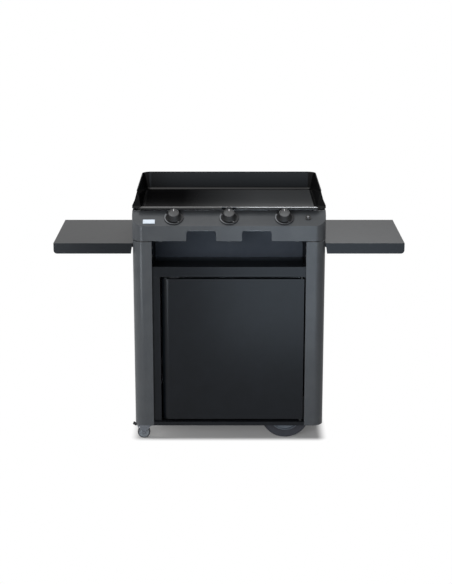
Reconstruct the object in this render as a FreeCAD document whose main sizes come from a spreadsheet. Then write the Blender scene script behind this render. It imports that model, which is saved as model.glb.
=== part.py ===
import FreeCAD, Part
import math
import os
from types import SimpleNamespace

import Sketcher

# Outdoor gas griddle station on a wheeled cabinet.
# Frame: +X to the user's right, -Y towards the user, +Z up. The origin is on the floor, under the
# middle of the overall width and depth. Lengths are millimetres, angles are degrees.

Vector = FreeCAD.Vector
Rotation = FreeCAD.Rotation
Placement = FreeCAD.Placement

SIZES = {
    # Whole station
    "overall_depth": 510.0,
    "body_width": 767.6,
    "body_bottom": 67.5,
    "column_top": 838.0,
    "body_rear_inset": 8.0,
    "sheet": 1.5,
    "running_gap": 0.05,
    "seat_gap": 0.3,
    # Front columns
    "column_face": 76.8,
    "corner_radius": 42.0,
    "rear_corner_radius": 5.0,
    "column_return": 25.0,
    # Control head
    "head_proud": 4.0,
    "head_side_proud": 1.0,
    "head_gap": 4.5,
    "head_sheet": 2.0,
    "head_rear_inset": 13.0,
    "head_rear_radius": 12.0,
    "fascia_height": 60.5,
    "panel_length": 84.0,
    "panel_tilt": 35.0,
    "notch_width": 118.0,
    "notch_height": 41.5,
    "notch_spacing": 220.0,
    "notch_radius": 12.0,
    "tab_width": 9.0,
    "tab_height": 3.6,
    "tab_spacing": 270.0,
    "foot_radius": 12.0,
    "foot_front": 75.0,
    # Knobs, valves and ignition
    "knob_side_inset": 165.8,
    "knob_up_panel": 45.0,
    "knob_radius": 28.8,
    "knob_waist_radius": 26.0,
    "knob_top_radius": 21.5,
    "knob_skirt": 3.6,
    "knob_height": 24.0,
    "knob_stand": 4.8,
    "bezel_radius": 39.0,
    "bezel_rim": 8.5,
    "bezel_thickness": 4.5,
    "bezel_floor": 1.0,
    "stem_radius": 3.0,
    "stem_in_knob": 20.0,
    "stem_in_plug": 18.0,
    "plug_radius": 7.0,
    "plug_length": 27.0,
    "valve_wall": 4.0,
    "valve_front": 12.0,
    "valve_end": 6.0,
    "nozzle_radius": 5.0,
    "nozzle_drop": 34.0,
    "nozzle_length": 30.0,
    "button_inset": 71.5,
    "button_radius": 7.5,
    "button_height": 6.5,
    "button_side": 3.9,
    "button_top_radius": 4.5,
    "button_edge": 1.0,
    "button_bezel_radius": 12.0,
    "button_bezel_thickness": 3.5,
    "button_shaft_radius": 4.0,
    "button_travel": 3.5,
    "igniter_radius": 13.0,
    "igniter_length": 38.0,
    "igniter_bore": 28.0,
    "badge_inset": 68.0,
    "badge_width": 47.5,
    "badge_height": 21.5,
    "badge_thickness": 1.5,
    "badge_up_panel": 23.0,
    # Gas line and burners
    "manifold_radius": 8.0,
    "manifold_overhang": 60.0,
    "pipe_radius": 6.0,
    "pipe_bend": 20.0,
    "inlet_inset": 24.8,
    "inlet_radius": 10.0,
    "inlet_length": 14.0,
    "inlet_nut": 15.0,
    "inlet_flange": 3.0,
    "burner_radius": 11.0,
    "burner_wall": 1.2,
    "burner_length": 372.0,
    "burner_overlap": 5.0,
    "port_width": 14.0,
    "port_length": 3.0,
    "port_pitch": 13.0,
    "port_count": 22,
    "electrode_radius": 3.0,
    "electrode_length": 30.0,
    # Inside the head
    "burner_bay_front": 129.0,
    "base_rail_width": 62.0,
    "shield_height": 12.5,
    "shield_clear": 12.0,
    "griddle_rail_inset": 52.8,
    "griddle_rail_flange": 16.0,
    "baffle_gap": 4.0,
    # Griddle pan
    "griddle_gap": 0.82,
    "griddle_sheet": 3.0,
    "griddle_wall_height": 77.0,
    "griddle_rim_inset": 17.1,
    "griddle_flare": 13.0,
    "griddle_corner": 20.0,
    "griddle_front_setback": 62.0,
    "griddle_fold": 18.0,
    "slope_start": 89.0,
    "wing_bend_inset": 9.8,
    "wing_bend_up": 28.0,
    "wing_foot": 5.0,
    "wing_drop": 6.0,
    "lip_setback": 48.5,
    "lip_side_inset": 24.0,
    "lip_rise": 16.0,
    "lip_drop": 9.5,
    "lip_roll": 7.0,
    "lip_corner": 12.0,
    "drain_offset": 21.0,
    "drain_setback": 89.0,
    "drain_radius": 6.0,
    "slot_length": 16.0,
    "slot_width": 10.0,
    "slot_drop": 7.5,
    "collar_radius": 8.5,
    "collar_bore": 6.0,
    "collar_height": 1.6,
    "collar_setback": 7.0,
    # Grease path
    "chute_wall": 1.2,
    "chute_half": 32.0,
    "chute_front": 79.0,
    "chute_length": 100.0,
    "chute_front_depth": 5.0,
    "chute_rear_depth": 11.5,
    "tray_half": 44.0,
    "tray_flange": 5.0,
    "tray_front": 144.0,
    "tray_length": 170.0,
    "tray_depth": 30.0,
    "tray_top_gap": 4.5,
    "tray_sheet": 1.2,
    # Cabinet
    "door_inset": 12.0,
    "base_height": 15.0,
    "door_bottom_gap": 9.4,
    "door_top_gap": 9.0,
    "door_side_gap": 6.4,
    "door_depth": 20.0,
    "stile_width": 31.0,
    "stile_depth": 44.0,
    "stile_groove": 4.5,
    "stile_groove_depth": 8.0,
    "pull_gap": 4.0,
    "pull_radius": 32.0,
    "pull_lip": 6.0,
    "hinge_edge": 8.5,
    "hinge_back": 10.0,
    "hinge_pin_radius": 4.0,
    "hinge_pin_reach": 8.0,
    "hinge_pin_grip": 15.0,
    "hinge_collar": 7.0,
    "rail_bottom": 692.0,
    "rail_height": 41.0,
    "rail_return": 15.0,
    "tray_floor": 5.0,
    "niche_depth": 325.0,
    "magnet_width": 40.0,
    "magnet_inset": 56.0,
    "vent_width": 60.0,
    "vent_height": 8.0,
    "vent_pitch": 24.0,
    "vent_rows": 6,
    "bolt_radius": 5.5,
    "bolt_head": 3.0,
    # Side shelves
    "shelf_gap": 1.5,
    "shelf_length": 313.7,
    "shelf_top": 826.0,
    "shelf_thickness": 42.5,
    "shelf_setback": 30.0,
    "shelf_depth": 443.0,
    "shelf_sheet": 1.5,
    "shelf_corner": 14.0,
    "shelf_relief": 5.5,
    "shelf_relief_top": 1.5,
    "shelf_relief_drop": 15.0,
    "shelf_pivot_drop": 31.5,
    "cheek_thickness": 4.0,
    "cheek_length": 60.0,
    "ear_thickness": 4.0,
    "ear_rise": 11.0,
    "bracket_foot": 34.0,
    "bracket_sheet": 2.0,
    "bracket_height": 13.5,
    "bracket_top_gap": 2.0,
    "stud_radius": 5.0,
    # Large wheels
    "wheel_radius": 100.0,
    "wheel_width": 36.0,
    "tyre_wall": 31.0,
    "wheel_inset": 152.8,
    "wheel_setback": 46.0,
    "hub_dish": 5.0,
    "hub_boss_radius": 16.0,
    "axle_radius": 6.0,
    "axle_head_radius": 9.0,
    "axle_head": 4.0,
    "arch_gap": 8.0,
    "arch_side_gap": 6.0,
    "arch_sheet": 2.0,
    # Casters
    "caster_radius": 25.5,
    "caster_width": 20.0,
    "caster_tread": 4.0,
    "caster_inset": 42.8,
    "caster_setback": 46.0,
    "caster_trail": 10.0,
    "caster_plate": 44.0,
    "caster_plate_sheet": 2.5,
    "caster_race_radius": 15.0,
    "caster_pin_radius": 5.0,
    "fork_top": 57.0,
    "fork_sheet": 2.5,
    "fork_gap": 1.5,
    "fork_shoulder": 22.0,
    "fork_eye": 8.0,
    "fork_cheek_drop": 7.0,
    "fork_cheek_inset": 6.0,
    "fork_ear_reach": 33.0,
    "fork_ear_low": 44.0,
    "fork_neck": 38.0,
    "caster_axle_radius": 4.0,
    "caster_axle_head": 2.5,
    "pedal_offset": 27.5,
    "pedal_height": 48.5,
    "pedal_pin_radius": 2.5,
    "pedal_sheet": 4.0,
    "pedal_width": 15.0,
    "pedal_step": 5.5,
    "pedal_bend_out": 11.5,
    "pedal_bend_up": 6.5,
    "pedal_length": 25.5,
    "pedal_rise": 14.5,
    "pedal_tip_length": 14.6,
    "pedal_tip_sheet": 7.4,
    "pedal_cam": 3.85,
    "pedal_cam_width": 2.4,
}


class Size:
    """A length or angle that carries its number and its formula in the sheet."""

    def __init__(self, value, text):
        self.value = float(value)
        self.text = text

    def joined(self, sign, other, result):
        return Size(result, f"({self.text} {sign} {size(other).text})")

    def __add__(self, other):
        return self.joined("+", other, self.value + size(other).value)

    def __sub__(self, other):
        return self.joined("-", other, self.value - size(other).value)

    def __mul__(self, other):
        return self.joined("*", other, self.value * size(other).value)

    def __truediv__(self, other):
        return self.joined("/", other, self.value / size(other).value)

    def __neg__(self):
        return Size(-self.value, f"(-1 * {self.text})")

    def __radd__(self, other):
        return size(other) + self

    def __rsub__(self, other):
        return size(other) - self

    def __rmul__(self, other):
        return size(other) * self

    def __float__(self):
        return self.value


def size(number):
    """Return the number as a Size, whether it already is one or not."""
    if isinstance(number, Size):
        return number
    return Size(number, f"({float(number)!r})")


def sine(angle):
    return Size(math.sin(math.radians(angle.value)), f"sin({angle.text})")


def cosine(angle):
    return Size(math.cos(math.radians(angle.value)), f"cos({angle.text})")


def tangent(angle):
    return sine(angle) / cosine(angle)


# Document and sheet

doc = FreeCAD.newDocument("griddle_station")
sheet = doc.addObject("Spreadsheet::Sheet", "sizes")
for row, (alias, number) in enumerate(SIZES.items(), start=1):
    sheet.set(f"A{row}", alias)
    sheet.set(f"B{row}", str(number))
    sheet.setAlias(f"B{row}", alias)
doc.recompute()

S = SimpleNamespace(**{alias: Size(number, f"sizes.{alias}") for alias, number in SIZES.items()})

# Planes and edges that several pieces share

FRONT = -S.overall_depth / 2
REAR = S.overall_depth / 2
BODY_FRONT = FRONT + S.head_proud
BODY_REAR = REAR - S.body_rear_inset
HEAD_REAR = REAR - S.head_rear_inset
HALF_BODY = S.body_width / 2
HALF_HEAD = HALF_BODY + S.head_side_proud
NICHE_HALF = HALF_BODY - S.column_face
WALL_INNER = NICHE_HALF + S.sheet
BASE_TOP = S.body_bottom + S.base_height
HEAD_BOTTOM = S.column_top + S.head_gap
FOLD_HEIGHT = HEAD_BOTTOM + S.fascia_height
PANEL_TOP_Y = FRONT + S.panel_length * cosine(S.panel_tilt)
PANEL_TOP = FOLD_HEIGHT + S.panel_length * sine(S.panel_tilt)
DOOR_FRONT = BODY_FRONT + S.door_inset
GRIDDLE_BOTTOM = PANEL_TOP + S.griddle_gap
KNOB_SPACING = HALF_HEAD - S.knob_side_inset
BUTTON_X = HALF_HEAD - S.button_inset
BADGE_X = HALF_HEAD - S.badge_inset
INLET_X = HALF_HEAD - S.inlet_inset
RAIL_HALF = HALF_HEAD - S.griddle_rail_inset
RIM_HALF = HALF_HEAD - S.griddle_rim_inset
WING_BEND = HALF_HEAD - S.wing_bend_inset
MAGNET_X = NICHE_HALF - S.stile_width - S.magnet_inset
WHEEL_X = HALF_BODY - S.wheel_inset
CASTER_X = HALF_BODY - S.caster_inset
RAIL_TOP = S.rail_bottom + S.rail_height
NICHE_FLOOR = S.rail_bottom + S.tray_floor
NICHE_REAR = BODY_FRONT + S.niche_depth
SHIELD_BOTTOM = HEAD_BOTTOM + S.shield_height
SHIELD_TOP = SHIELD_BOTTOM + S.sheet
BAY_FRONT = FRONT + S.burner_bay_front
WHEEL_FRONT_Y = BODY_FRONT + S.wheel_setback + S.wheel_width / 2
WHEEL_REAR_Y = BODY_REAR - S.wheel_setback - S.wheel_width / 2
WHEEL_Y = {"front": WHEEL_FRONT_Y, "rear": WHEEL_REAR_Y}
CASTER_Y = {"front": BODY_FRONT + S.caster_setback, "rear": BODY_REAR - S.caster_setback}
KNOB_X = {"left": -KNOB_SPACING, "centre": size(0), "right": KNOB_SPACING}
SIDES = {"left": -1, "right": 1}

nodes = {}


QUARTER_TURN = 90

# Helpers that make document objects

def bind(target, prop, value):
    """Tie one property of an object to the sheet."""
    target.setExpression(prop, size(value).text)


def place(target, x=0, y=0, z=0, axis=None, angle=0):
    """Put an object at a point, turned about an axis."""
    turn = Rotation(axis, float(angle)) if axis else Rotation()
    target.Placement = Placement(Vector(float(x), float(y), float(z)), turn)
    bind(target, "Placement.Base.x", x)
    bind(target, "Placement.Base.y", y)
    bind(target, "Placement.Base.z", z)
    if axis and isinstance(angle, Size):
        bind(target, "Placement.Rotation.Angle", angle)
    return target


def keep(name, target):
    """Give a finished piece its name and list it for export."""
    target.Label = name
    nodes[name] = target
    return target


def block(name, low, high):
    """A box from its lowest to its highest corner."""
    box = doc.addObject("Part::Box", name)
    for prop, start, end in zip(("Length", "Width", "Height"), low, high):
        bind(box, prop, end - start)
    return place(box, *low)


AXIS_TURNS = {"x": (Vector(0, 1, 0), 90), "y": (Vector(1, 0, 0), -90), "z": (None, 0)}


def rod(name, radius, start, length, direction="z"):
    """A cylinder that begins at a point and runs along +X, +Y or +Z."""
    cylinder = doc.addObject("Part::Cylinder", name)
    bind(cylinder, "Radius", radius)
    bind(cylinder, "Height", length)
    axis, angle = AXIS_TURNS[direction]
    return place(cylinder, *start, axis=axis, angle=angle)


def fuse(name, parts):
    union = doc.addObject("Part::MultiFuse", name)
    union.Shapes = parts
    return union


def group(name, parts):
    """Several separate solids that share one node."""
    compound = doc.addObject("Part::Compound", name)
    compound.Links = parts
    return compound


def cut(name, base, tools):
    """Take one or more tools out of a base."""
    difference = doc.addObject("Part::Cut", name)
    difference.Base = base
    difference.Tool = tools[0] if len(tools) == 1 else fuse(name + "_tools", tools)
    return difference


def body(name):
    return doc.addObject("PartDesign::Body", name)


def sketch_on(owner, name, role, offset=0):
    """A sketch on one of the body's origin planes, moved along that plane's normal."""
    sketch = owner.newObject("Sketcher::SketchObject", name)
    plane = next(item for item in owner.Origin.OriginFeatures if item.Role == role)
    sketch.AttachmentSupport = [(plane, "")]
    sketch.MapMode = "FlatFace"
    bind(sketch, "AttachmentOffset.Base.z", offset)
    return sketch


def pin_point(sketch, geometry, position, point, tag):
    """Hold one point of a sketch at two sizes from the sketch's origin."""
    for letter, kind, value in zip("xy", ("DistanceX", "DistanceY"), point):
        constraint = Sketcher.Constraint(kind, -1, 1, geometry, position, float(value))
        index = sketch.addConstraint(constraint)
        sketch.renameConstraint(index, f"{letter}{tag}")
        bind(sketch, f"Constraints.{letter}{tag}", value)


def draw_polygon(sketch, points):
    """Draw one closed outline of straight lines through the points."""
    first = sketch.GeometryCount
    flat = [Vector(float(x), float(y), 0) for x, y in points]
    count = len(points)
    for index in range(count):
        sketch.addGeometry(Part.LineSegment(flat[index], flat[(index + 1) % count]), False)
    for index in range(count):
        following = first + (index + 1) % count
        sketch.addConstraint(Sketcher.Constraint("Coincident", first + index, 2, following, 1))
    for index, point in enumerate(points):
        pin_point(sketch, first + index, 1, point, first + index)


def draw_rectangle(sketch, low, high):
    draw_polygon(sketch, [low, (high[0], low[1]), high, (low[0], high[1])])


def draw_circle(sketch, centre, radius):
    index = sketch.addGeometry(
        Part.Circle(Vector(float(centre[0]), float(centre[1]), 0), Vector(0, 0, 1), float(radius)), False)
    pin_point(sketch, index, 3, centre, index)
    constraint = sketch.addConstraint(Sketcher.Constraint("Radius", index, float(radius)))
    sketch.renameConstraint(constraint, f"radius{index}")
    bind(sketch, f"Constraints.radius{index}", radius)


def pad(owner, sketch, length, backwards=False):
    feature = owner.newObject("PartDesign::Pad", sketch.Name + "_pad")
    feature.Profile = sketch
    bind(feature, "Length", length)
    feature.Reversed = backwards
    return feature


def pocket(owner, sketch, length, backwards=False):
    """Cut a sketch into the body, against the sketch's normal unless it is backwards."""
    feature = owner.newObject("PartDesign::Pocket", sketch.Name + "_pocket")
    feature.Profile = sketch
    bind(feature, "Length", length)
    feature.Reversed = backwards
    return feature


def turned(name, points):
    """A body of revolution about its own Z axis, from points of radius and height."""
    owner = body(name)
    sketch = sketch_on(owner, name + "_profile", "XZ_Plane")
    draw_polygon(sketch, points)
    feature = owner.newObject("PartDesign::Revolution", name + "_turn")
    feature.Profile = sketch
    feature.ReferenceAxis = (sketch, ["V_Axis"])
    feature.Angle = 360
    return owner


def round_edges(owner, name, radius, wanted):
    """Fillet the edges of the body's last shape for which wanted(edge) is true."""
    doc.recompute()
    before = owner.Tip
    picked = [f"Edge{index}" for index, edge in enumerate(before.Shape.Edges, start=1) if wanted(edge)]
    feature = owner.newObject("PartDesign::Fillet", name)
    feature.Base = (before, picked)
    bind(feature, "Radius", radius)
    return feature


def hollow(owner, name, wall, opened):
    """Turn the solid into a sheet shell, open at the faces for which opened(face) is true."""
    doc.recompute()
    before = owner.Tip
    picked = [f"Face{index}" for index, face in enumerate(before.Shape.Faces, start=1) if opened(face)]
    feature = owner.newObject("PartDesign::Thickness", name)
    feature.Base = (before, picked)
    bind(feature, "Value", wall)
    feature.Reversed = True
    return feature


def near(value, target):
    tolerance = 0.01
    return abs(value - float(target)) < tolerance


def upright_at(x, y):
    """Test for a vertical edge at a place in plan."""
    def test(edge):
        box = edge.BoundBox
        return near(box.XLength, 0) and near(box.YLength, 0) and near(box.XMin, x) and near(box.YMin, y)
    return test


def flat_at(axis, value):
    """Test for a plane face square to an axis at a given value."""
    def test(face):
        box = face.BoundBox
        low, high = {"x": (box.XMin, box.XMax), "z": (box.ZMin, box.ZMax)}[axis]
        return near(low, value) and near(high, value)
    return test


def ring_at(radius, height):
    """Test for a circle about the Z axis."""
    def test(edge):
        box = edge.BoundBox
        return near(box.ZLength, 0) and near(box.ZMin, height) and near(box.XMax, radius)
    return test


def seat_on_panel(target, x=0):
    """Move a piece from panel coordinates (along X, up the panel, out of the panel) to its place."""
    return place(target, x, FRONT, FOLD_HEIGHT, axis=Vector(1, 0, 0), angle=S.panel_tilt)


def panel_point(up, out):
    """Y and Z of a point given by its distance up the panel and out of it."""
    y = FRONT + up * cosine(S.panel_tilt) - out * sine(S.panel_tilt)
    z = FOLD_HEIGHT + up * sine(S.panel_tilt) + out * cosine(S.panel_tilt)
    return y, z


def panel_rod(name, radius, x, up, out, length, turn=0):
    """A cylinder square to the panel, or turned from there about X."""
    cylinder = doc.addObject("Part::Cylinder", name)
    bind(cylinder, "Radius", radius)
    bind(cylinder, "Height", length)
    return place(cylinder, x, *panel_point(up, size(out)), axis=Vector(1, 0, 0), angle=S.panel_tilt + turn)


def mirrored_pair(low, high, side):
    """Corners of a box given for the right side, for either side."""
    if side > 0:
        return low, high
    return (-high[0], low[1], low[2]), (-low[0], high[1], high[2])


# Cabinet

def arch_tools(name, radius_gap, side_gap):
    """Round clearances about both large wheels, used for the arches and for their cut-outs."""
    tools = []
    for end, centre in WHEEL_Y.items():
        half = S.wheel_width / 2 + side_gap
        start = (WHEEL_X, centre - half, S.wheel_radius)
        tools.append(rod(f"{name}_{end}", S.wheel_radius + radius_gap, start, half * 2, "y"))
    return tools


def side_panel(name, side):
    """Folded side with its rounded front column, closed at the top and bottom."""
    owner = body(name)
    outline = sketch_on(owner, name + "_plan", "XY_Plane", S.body_bottom)
    draw_rectangle(outline, (side * NICHE_HALF, BODY_FRONT), (side * HALF_BODY, BODY_REAR))
    pad(owner, outline, S.column_top - S.body_bottom)
    outer = side * float(HALF_BODY)
    round_edges(owner, name + "_corner", S.corner_radius, upright_at(outer, BODY_FRONT))
    round_edges(owner, name + "_rear_corner", S.rear_corner_radius, upright_at(outer, BODY_REAR))
    hollow(owner, name + "_shell", S.sheet, flat_at("x", side * float(NICHE_HALF)))
    fold = sketch_on(owner, name + "_return", "XY_Plane", S.body_bottom)
    draw_rectangle(fold, (side * NICHE_HALF, BODY_FRONT + S.sheet),
                   (side * WALL_INNER, BODY_FRONT + S.column_return))
    pad(owner, fold, S.column_top - S.body_bottom)
    return owner


def side_panels():
    keep("side_panel_left", side_panel("side_panel_left", -1))
    slots = arch_tools("column_slot", S.arch_gap, S.arch_side_gap)
    keep("side_panel_right", cut("side_panel_right", side_panel("side_panel_right_sheet", 1), slots))


def inner_wall(name, side):
    """Flat wall between a column and the cabinet."""
    low, high = mirrored_pair((WALL_INNER, BODY_FRONT + S.sheet, S.body_bottom + S.sheet),
                              (WALL_INNER + S.sheet, BODY_REAR - S.sheet, S.column_top - S.sheet), side)
    wall = block(name, low, high)
    if side > 0:
        gaps = arch_tools("wall_gap", S.arch_gap + S.arch_sheet + S.seat_gap,
                          S.arch_side_gap + S.arch_sheet + S.seat_gap)
        wall = cut(name + "_cut", wall, gaps)
    return keep(name, wall)


def base_pan():
    """Cabinet floor: a flat sheet folded down at the front and rear, slotted for the wheels."""
    outer = block("base_outer", (-WALL_INNER, BODY_FRONT + S.seat_gap, S.body_bottom),
                  (WALL_INNER, BODY_REAR - S.sheet, BASE_TOP))
    edge = S.sheet
    inner = block("base_inner", (-WALL_INNER, BODY_FRONT + S.seat_gap + edge, S.body_bottom),
                  (WALL_INNER, BODY_REAR - edge * 2, BASE_TOP - edge))
    # The corners are notched for the columns' folded returns and their bottom sheets.
    notches = []
    for label, side in SIDES.items():
        low, high = mirrored_pair((NICHE_HALF, BODY_FRONT, S.body_bottom),
                                  (WALL_INNER, BODY_FRONT + S.column_return + S.seat_gap, BASE_TOP), side)
        notches.append(block(f"base_notch_{label}", low, high))
        low, high = mirrored_pair((NICHE_HALF, BODY_REAR - edge * 2, S.body_bottom),
                                  (WALL_INNER, BODY_REAR, S.body_bottom + edge), side)
        notches.append(block(f"base_rear_notch_{label}", low, high))
    pin_x, pin_y = hinge_axis()
    pin_hole = rod("base_pin_hole", S.hinge_pin_radius + S.running_gap,
                   (pin_x, pin_y, S.body_bottom), S.base_height)
    slots = arch_tools("base_slot", S.arch_gap, S.arch_side_gap)
    keep("base_pan", cut("base_pan_cut", outer, [inner, pin_hole] + notches + slots))


def wheel_arches():
    """Round housings over the large wheels, standing on the cabinet floor."""
    arches = []
    outer = arch_tools("arch_outer", S.arch_gap + S.arch_sheet, S.arch_side_gap + S.arch_sheet)
    inner = arch_tools("arch_inner", S.arch_gap, S.arch_side_gap)
    for (end, centre), solid, space in zip(WHEEL_Y.items(), outer, inner):
        reach = S.wheel_radius * 2
        below = block(f"arch_below_{end}", (WHEEL_X - reach, centre - reach, -reach),
                      (WHEEL_X + reach, centre + reach, BASE_TOP))
        half = S.wheel_width / 2 + S.arch_side_gap + S.arch_sheet
        bore = rod(f"arch_bore_{end}", S.axle_radius, (WHEEL_X, centre - half, S.wheel_radius),
                   half * 2, "y")
        arches.append(cut(f"arch_{end}", solid, [space, below, bore]))
    keep("wheel_arches", group("wheel_arch_group", arches))


def wheel_axles():
    """Headed axles, each through both cheeks of its arch."""
    axles = []
    half = S.wheel_width / 2 + S.arch_side_gap + S.arch_sheet
    for end, centre in WHEEL_Y.items():
        shaft = rod(f"axle_shaft_{end}", S.axle_radius, (WHEEL_X, centre - half, S.wheel_radius),
                    half * 2, "y")
        heads = [
            rod(f"axle_head_{end}", S.axle_head_radius,
                (WHEEL_X, centre - half - S.axle_head, S.wheel_radius), S.axle_head, "y"),
            rod(f"axle_nut_{end}", S.axle_head_radius,
                (WHEEL_X, centre + half, S.wheel_radius), S.axle_head, "y"),
        ]
        axles.append(fuse(f"axle_{end}", [shaft] + heads))
    keep("wheel_axles", group("wheel_axle_group", axles))


def niche_tray():
    """Floor of the niche with its front rail, folded from one sheet."""
    owner = body("niche_tray_body")
    section = sketch_on(owner, "niche_section", "YZ_Plane", -NICHE_HALF)
    inner = DOOR_FRONT + S.sheet
    draw_polygon(section, [
        (DOOR_FRONT, S.rail_bottom),
        (DOOR_FRONT, RAIL_TOP),
        (DOOR_FRONT + S.rail_return, RAIL_TOP),
        (DOOR_FRONT + S.rail_return, RAIL_TOP - S.sheet),
        (inner, RAIL_TOP - S.sheet),
        (inner, NICHE_FLOOR + S.sheet),
        (NICHE_REAR, NICHE_FLOOR + S.sheet),
        (NICHE_REAR, NICHE_FLOOR),
        (inner, NICHE_FLOOR),
        (inner, S.rail_bottom),
    ])
    pad(owner, section, NICHE_HALF * 2)
    pin_x, pin_y = hinge_axis()
    hole = rod("niche_pin_hole", S.hinge_pin_radius + S.running_gap,
               (pin_x, pin_y, S.rail_bottom), S.rail_height)
    keep("niche_tray", cut("niche_tray_cut", owner, [hole]))


def cabinet_backs():
    """Back of the niche, and the vented rear panel of the cabinet."""
    keep("niche_back_panel", block("niche_back", (-WALL_INNER, NICHE_REAR, NICHE_FLOOR),
                                   (WALL_INNER, NICHE_REAR + S.sheet, S.column_top - S.sheet)))
    owner = body("rear_panel_body")
    outline = sketch_on(owner, "rear_outline", "XZ_Plane", -(BODY_REAR - S.sheet))
    draw_rectangle(outline, (-WALL_INNER, BASE_TOP), (WALL_INNER, S.column_top - S.sheet))
    pad(owner, outline, S.sheet)
    vent = sketch_on(owner, "vent_slot", "XZ_Plane", -(BODY_REAR - S.sheet * 2))
    half = S.vent_width / 2
    low = BASE_TOP + S.vent_pitch * 2
    for column in (-1, 0, 1):
        centre = S.vent_width * 2 * column
        draw_rectangle(vent, (centre - half, low), (centre + half, low + S.vent_height))
    slots = pocket(owner, vent, S.sheet * 2, backwards=True)
    doc.recompute()
    rows = owner.newObject("PartDesign::LinearPattern", "vent_rows")
    rows.Originals = [slots]
    rows.Direction = (vent, ["V_Axis"])
    bind(rows, "Length", S.vent_pitch * (S.vent_rows - 1))
    bind(rows, "Occurrences", S.vent_rows)
    owner.Tip = rows
    keep("rear_panel", owner)


def door_stile():
    """Fixed strip to the left of the door: a groove beside the column, and a fold behind the pull."""
    owner = body("door_stile")
    section = sketch_on(owner, "stile_section", "XY_Plane", BASE_TOP)
    left = -NICHE_HALF
    face = left + S.stile_groove
    right = left + S.stile_width
    groove = DOOR_FRONT + S.stile_groove_depth
    draw_polygon(section, [
        (left, groove),
        (face, groove),
        (face, DOOR_FRONT),
        (right, DOOR_FRONT),
        (right, DOOR_FRONT + S.stile_depth),
        (right - S.sheet, DOOR_FRONT + S.stile_depth),
        (right - S.sheet, DOOR_FRONT + S.sheet),
        (face + S.sheet, DOOR_FRONT + S.sheet),
        (face + S.sheet, groove + S.sheet),
        (left, groove + S.sheet),
    ])
    pad(owner, section, S.rail_bottom - BASE_TOP)
    keep("door_stile", owner)


def body_bolts():
    """Round bolt heads inside the niche, and those that hold the shelf brackets."""
    bolts = []
    heights = (S.column_top - S.bracket_foot, S.column_top - S.bracket_foot * 2)
    for label, side in SIDES.items():
        for place_name, depth in (("front", S.column_return * 2), ("rear", S.niche_depth - S.column_return)):
            for index, height in enumerate(heights):
                inner = WALL_INNER - S.bolt_head
                start_x = inner if side > 0 else -WALL_INNER
                bolts.append(rod(f"niche_bolt_{label}_{place_name}_{index}", S.bolt_radius,
                                 (start_x, BODY_FRONT + depth, height), S.bolt_head, "x"))
        for end, (pivot_y, inward) in shelf_ends().items():
            centre_y = pivot_y + inward * (S.ear_thickness + S.bracket_foot / 2 + S.seat_gap)
            height = sum(bracket_heights()) / 2
            start_x = HALF_BODY + S.bracket_sheet
            start_x = start_x if side > 0 else -(start_x + S.bolt_head)
            bolts.append(rod(f"shelf_bolt_{label}_{end}", S.bolt_radius, (start_x, centre_y, height),
                             S.bolt_head, "x"))
    keep("body_bolts", group("body_bolt_group", bolts))


# Door

def hinge_axis():
    """Place of the door's vertical hinge line in plan."""
    edge = NICHE_HALF - S.door_side_gap
    return edge - S.hinge_edge, DOOR_FRONT + S.hinge_back


def door():
    """Door folded from one sheet, with its left edge rolled back as a finger pull."""
    owner = body("door_panel_body")
    bottom = BASE_TOP + S.door_bottom_gap
    top = S.rail_bottom - S.door_top_gap
    right = NICHE_HALF - S.door_side_gap
    pull_edge = -NICHE_HALF + S.stile_width + S.pull_gap
    roll_centre = pull_edge + S.pull_radius
    back = DOOR_FRONT + S.door_depth
    slab = sketch_on(owner, "door_plan", "XY_Plane", bottom)
    draw_rectangle(slab, (roll_centre - S.pull_radius / 8, DOOR_FRONT), (right, back))
    pad(owner, slab, top - bottom)
    inner = sketch_on(owner, "door_inside", "XY_Plane", bottom + S.sheet)
    draw_rectangle(inner, (roll_centre - S.pull_radius, DOOR_FRONT + S.sheet),
                   (right - S.sheet, back + S.door_depth))
    pocket(owner, inner, top - bottom - S.sheet * 2, backwards=True)
    pin_x, pin_y = hinge_axis()
    pin_hole = rod("door_pin_hole", S.hinge_pin_radius, (pin_x, pin_y, bottom), top - bottom)
    outside = rod("pull_outside", S.pull_radius, (roll_centre, DOOR_FRONT + S.pull_radius, bottom),
                  top - bottom)
    inside = rod("pull_inside", S.pull_radius - S.sheet,
                 (roll_centre, DOOR_FRONT + S.pull_radius, bottom), top - bottom)
    reach = S.pull_radius * 2
    behind = block("pull_behind", (pull_edge - reach, DOOR_FRONT + S.pull_radius, bottom),
                   (right, DOOR_FRONT + S.pull_radius + reach, top))
    beside = block("pull_beside", (roll_centre, DOOR_FRONT - reach, bottom),
                   (roll_centre + reach, DOOR_FRONT + reach, top))
    roll = cut("pull_roll", outside, [inside, behind, beside])
    lip = block("pull_lip_strip", (pull_edge, DOOR_FRONT + S.pull_radius, bottom),
                (pull_edge + S.sheet, DOOR_FRONT + S.pull_radius + S.pull_lip, top))
    trim = block("door_trim", (roll_centre - S.pull_radius, DOOR_FRONT, bottom),
                 (roll_centre, DOOR_FRONT + S.pull_radius + S.pull_lip, top))
    flat = cut("door_flat", owner, [trim])
    strike = block("door_strike", (-MAGNET_X - S.magnet_width / 2, back - S.sheet,
                                   top - S.magnet_width / 2),
                   (-MAGNET_X + S.magnet_width / 2, back, top))
    whole = fuse("door_sheet", [flat, roll, lip, strike])
    keep("door_panel", cut("door_panel_cut", whole, [pin_hole]))
    door_pins(pin_x, pin_y, bottom, top)
    magnet(back, top)


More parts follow.
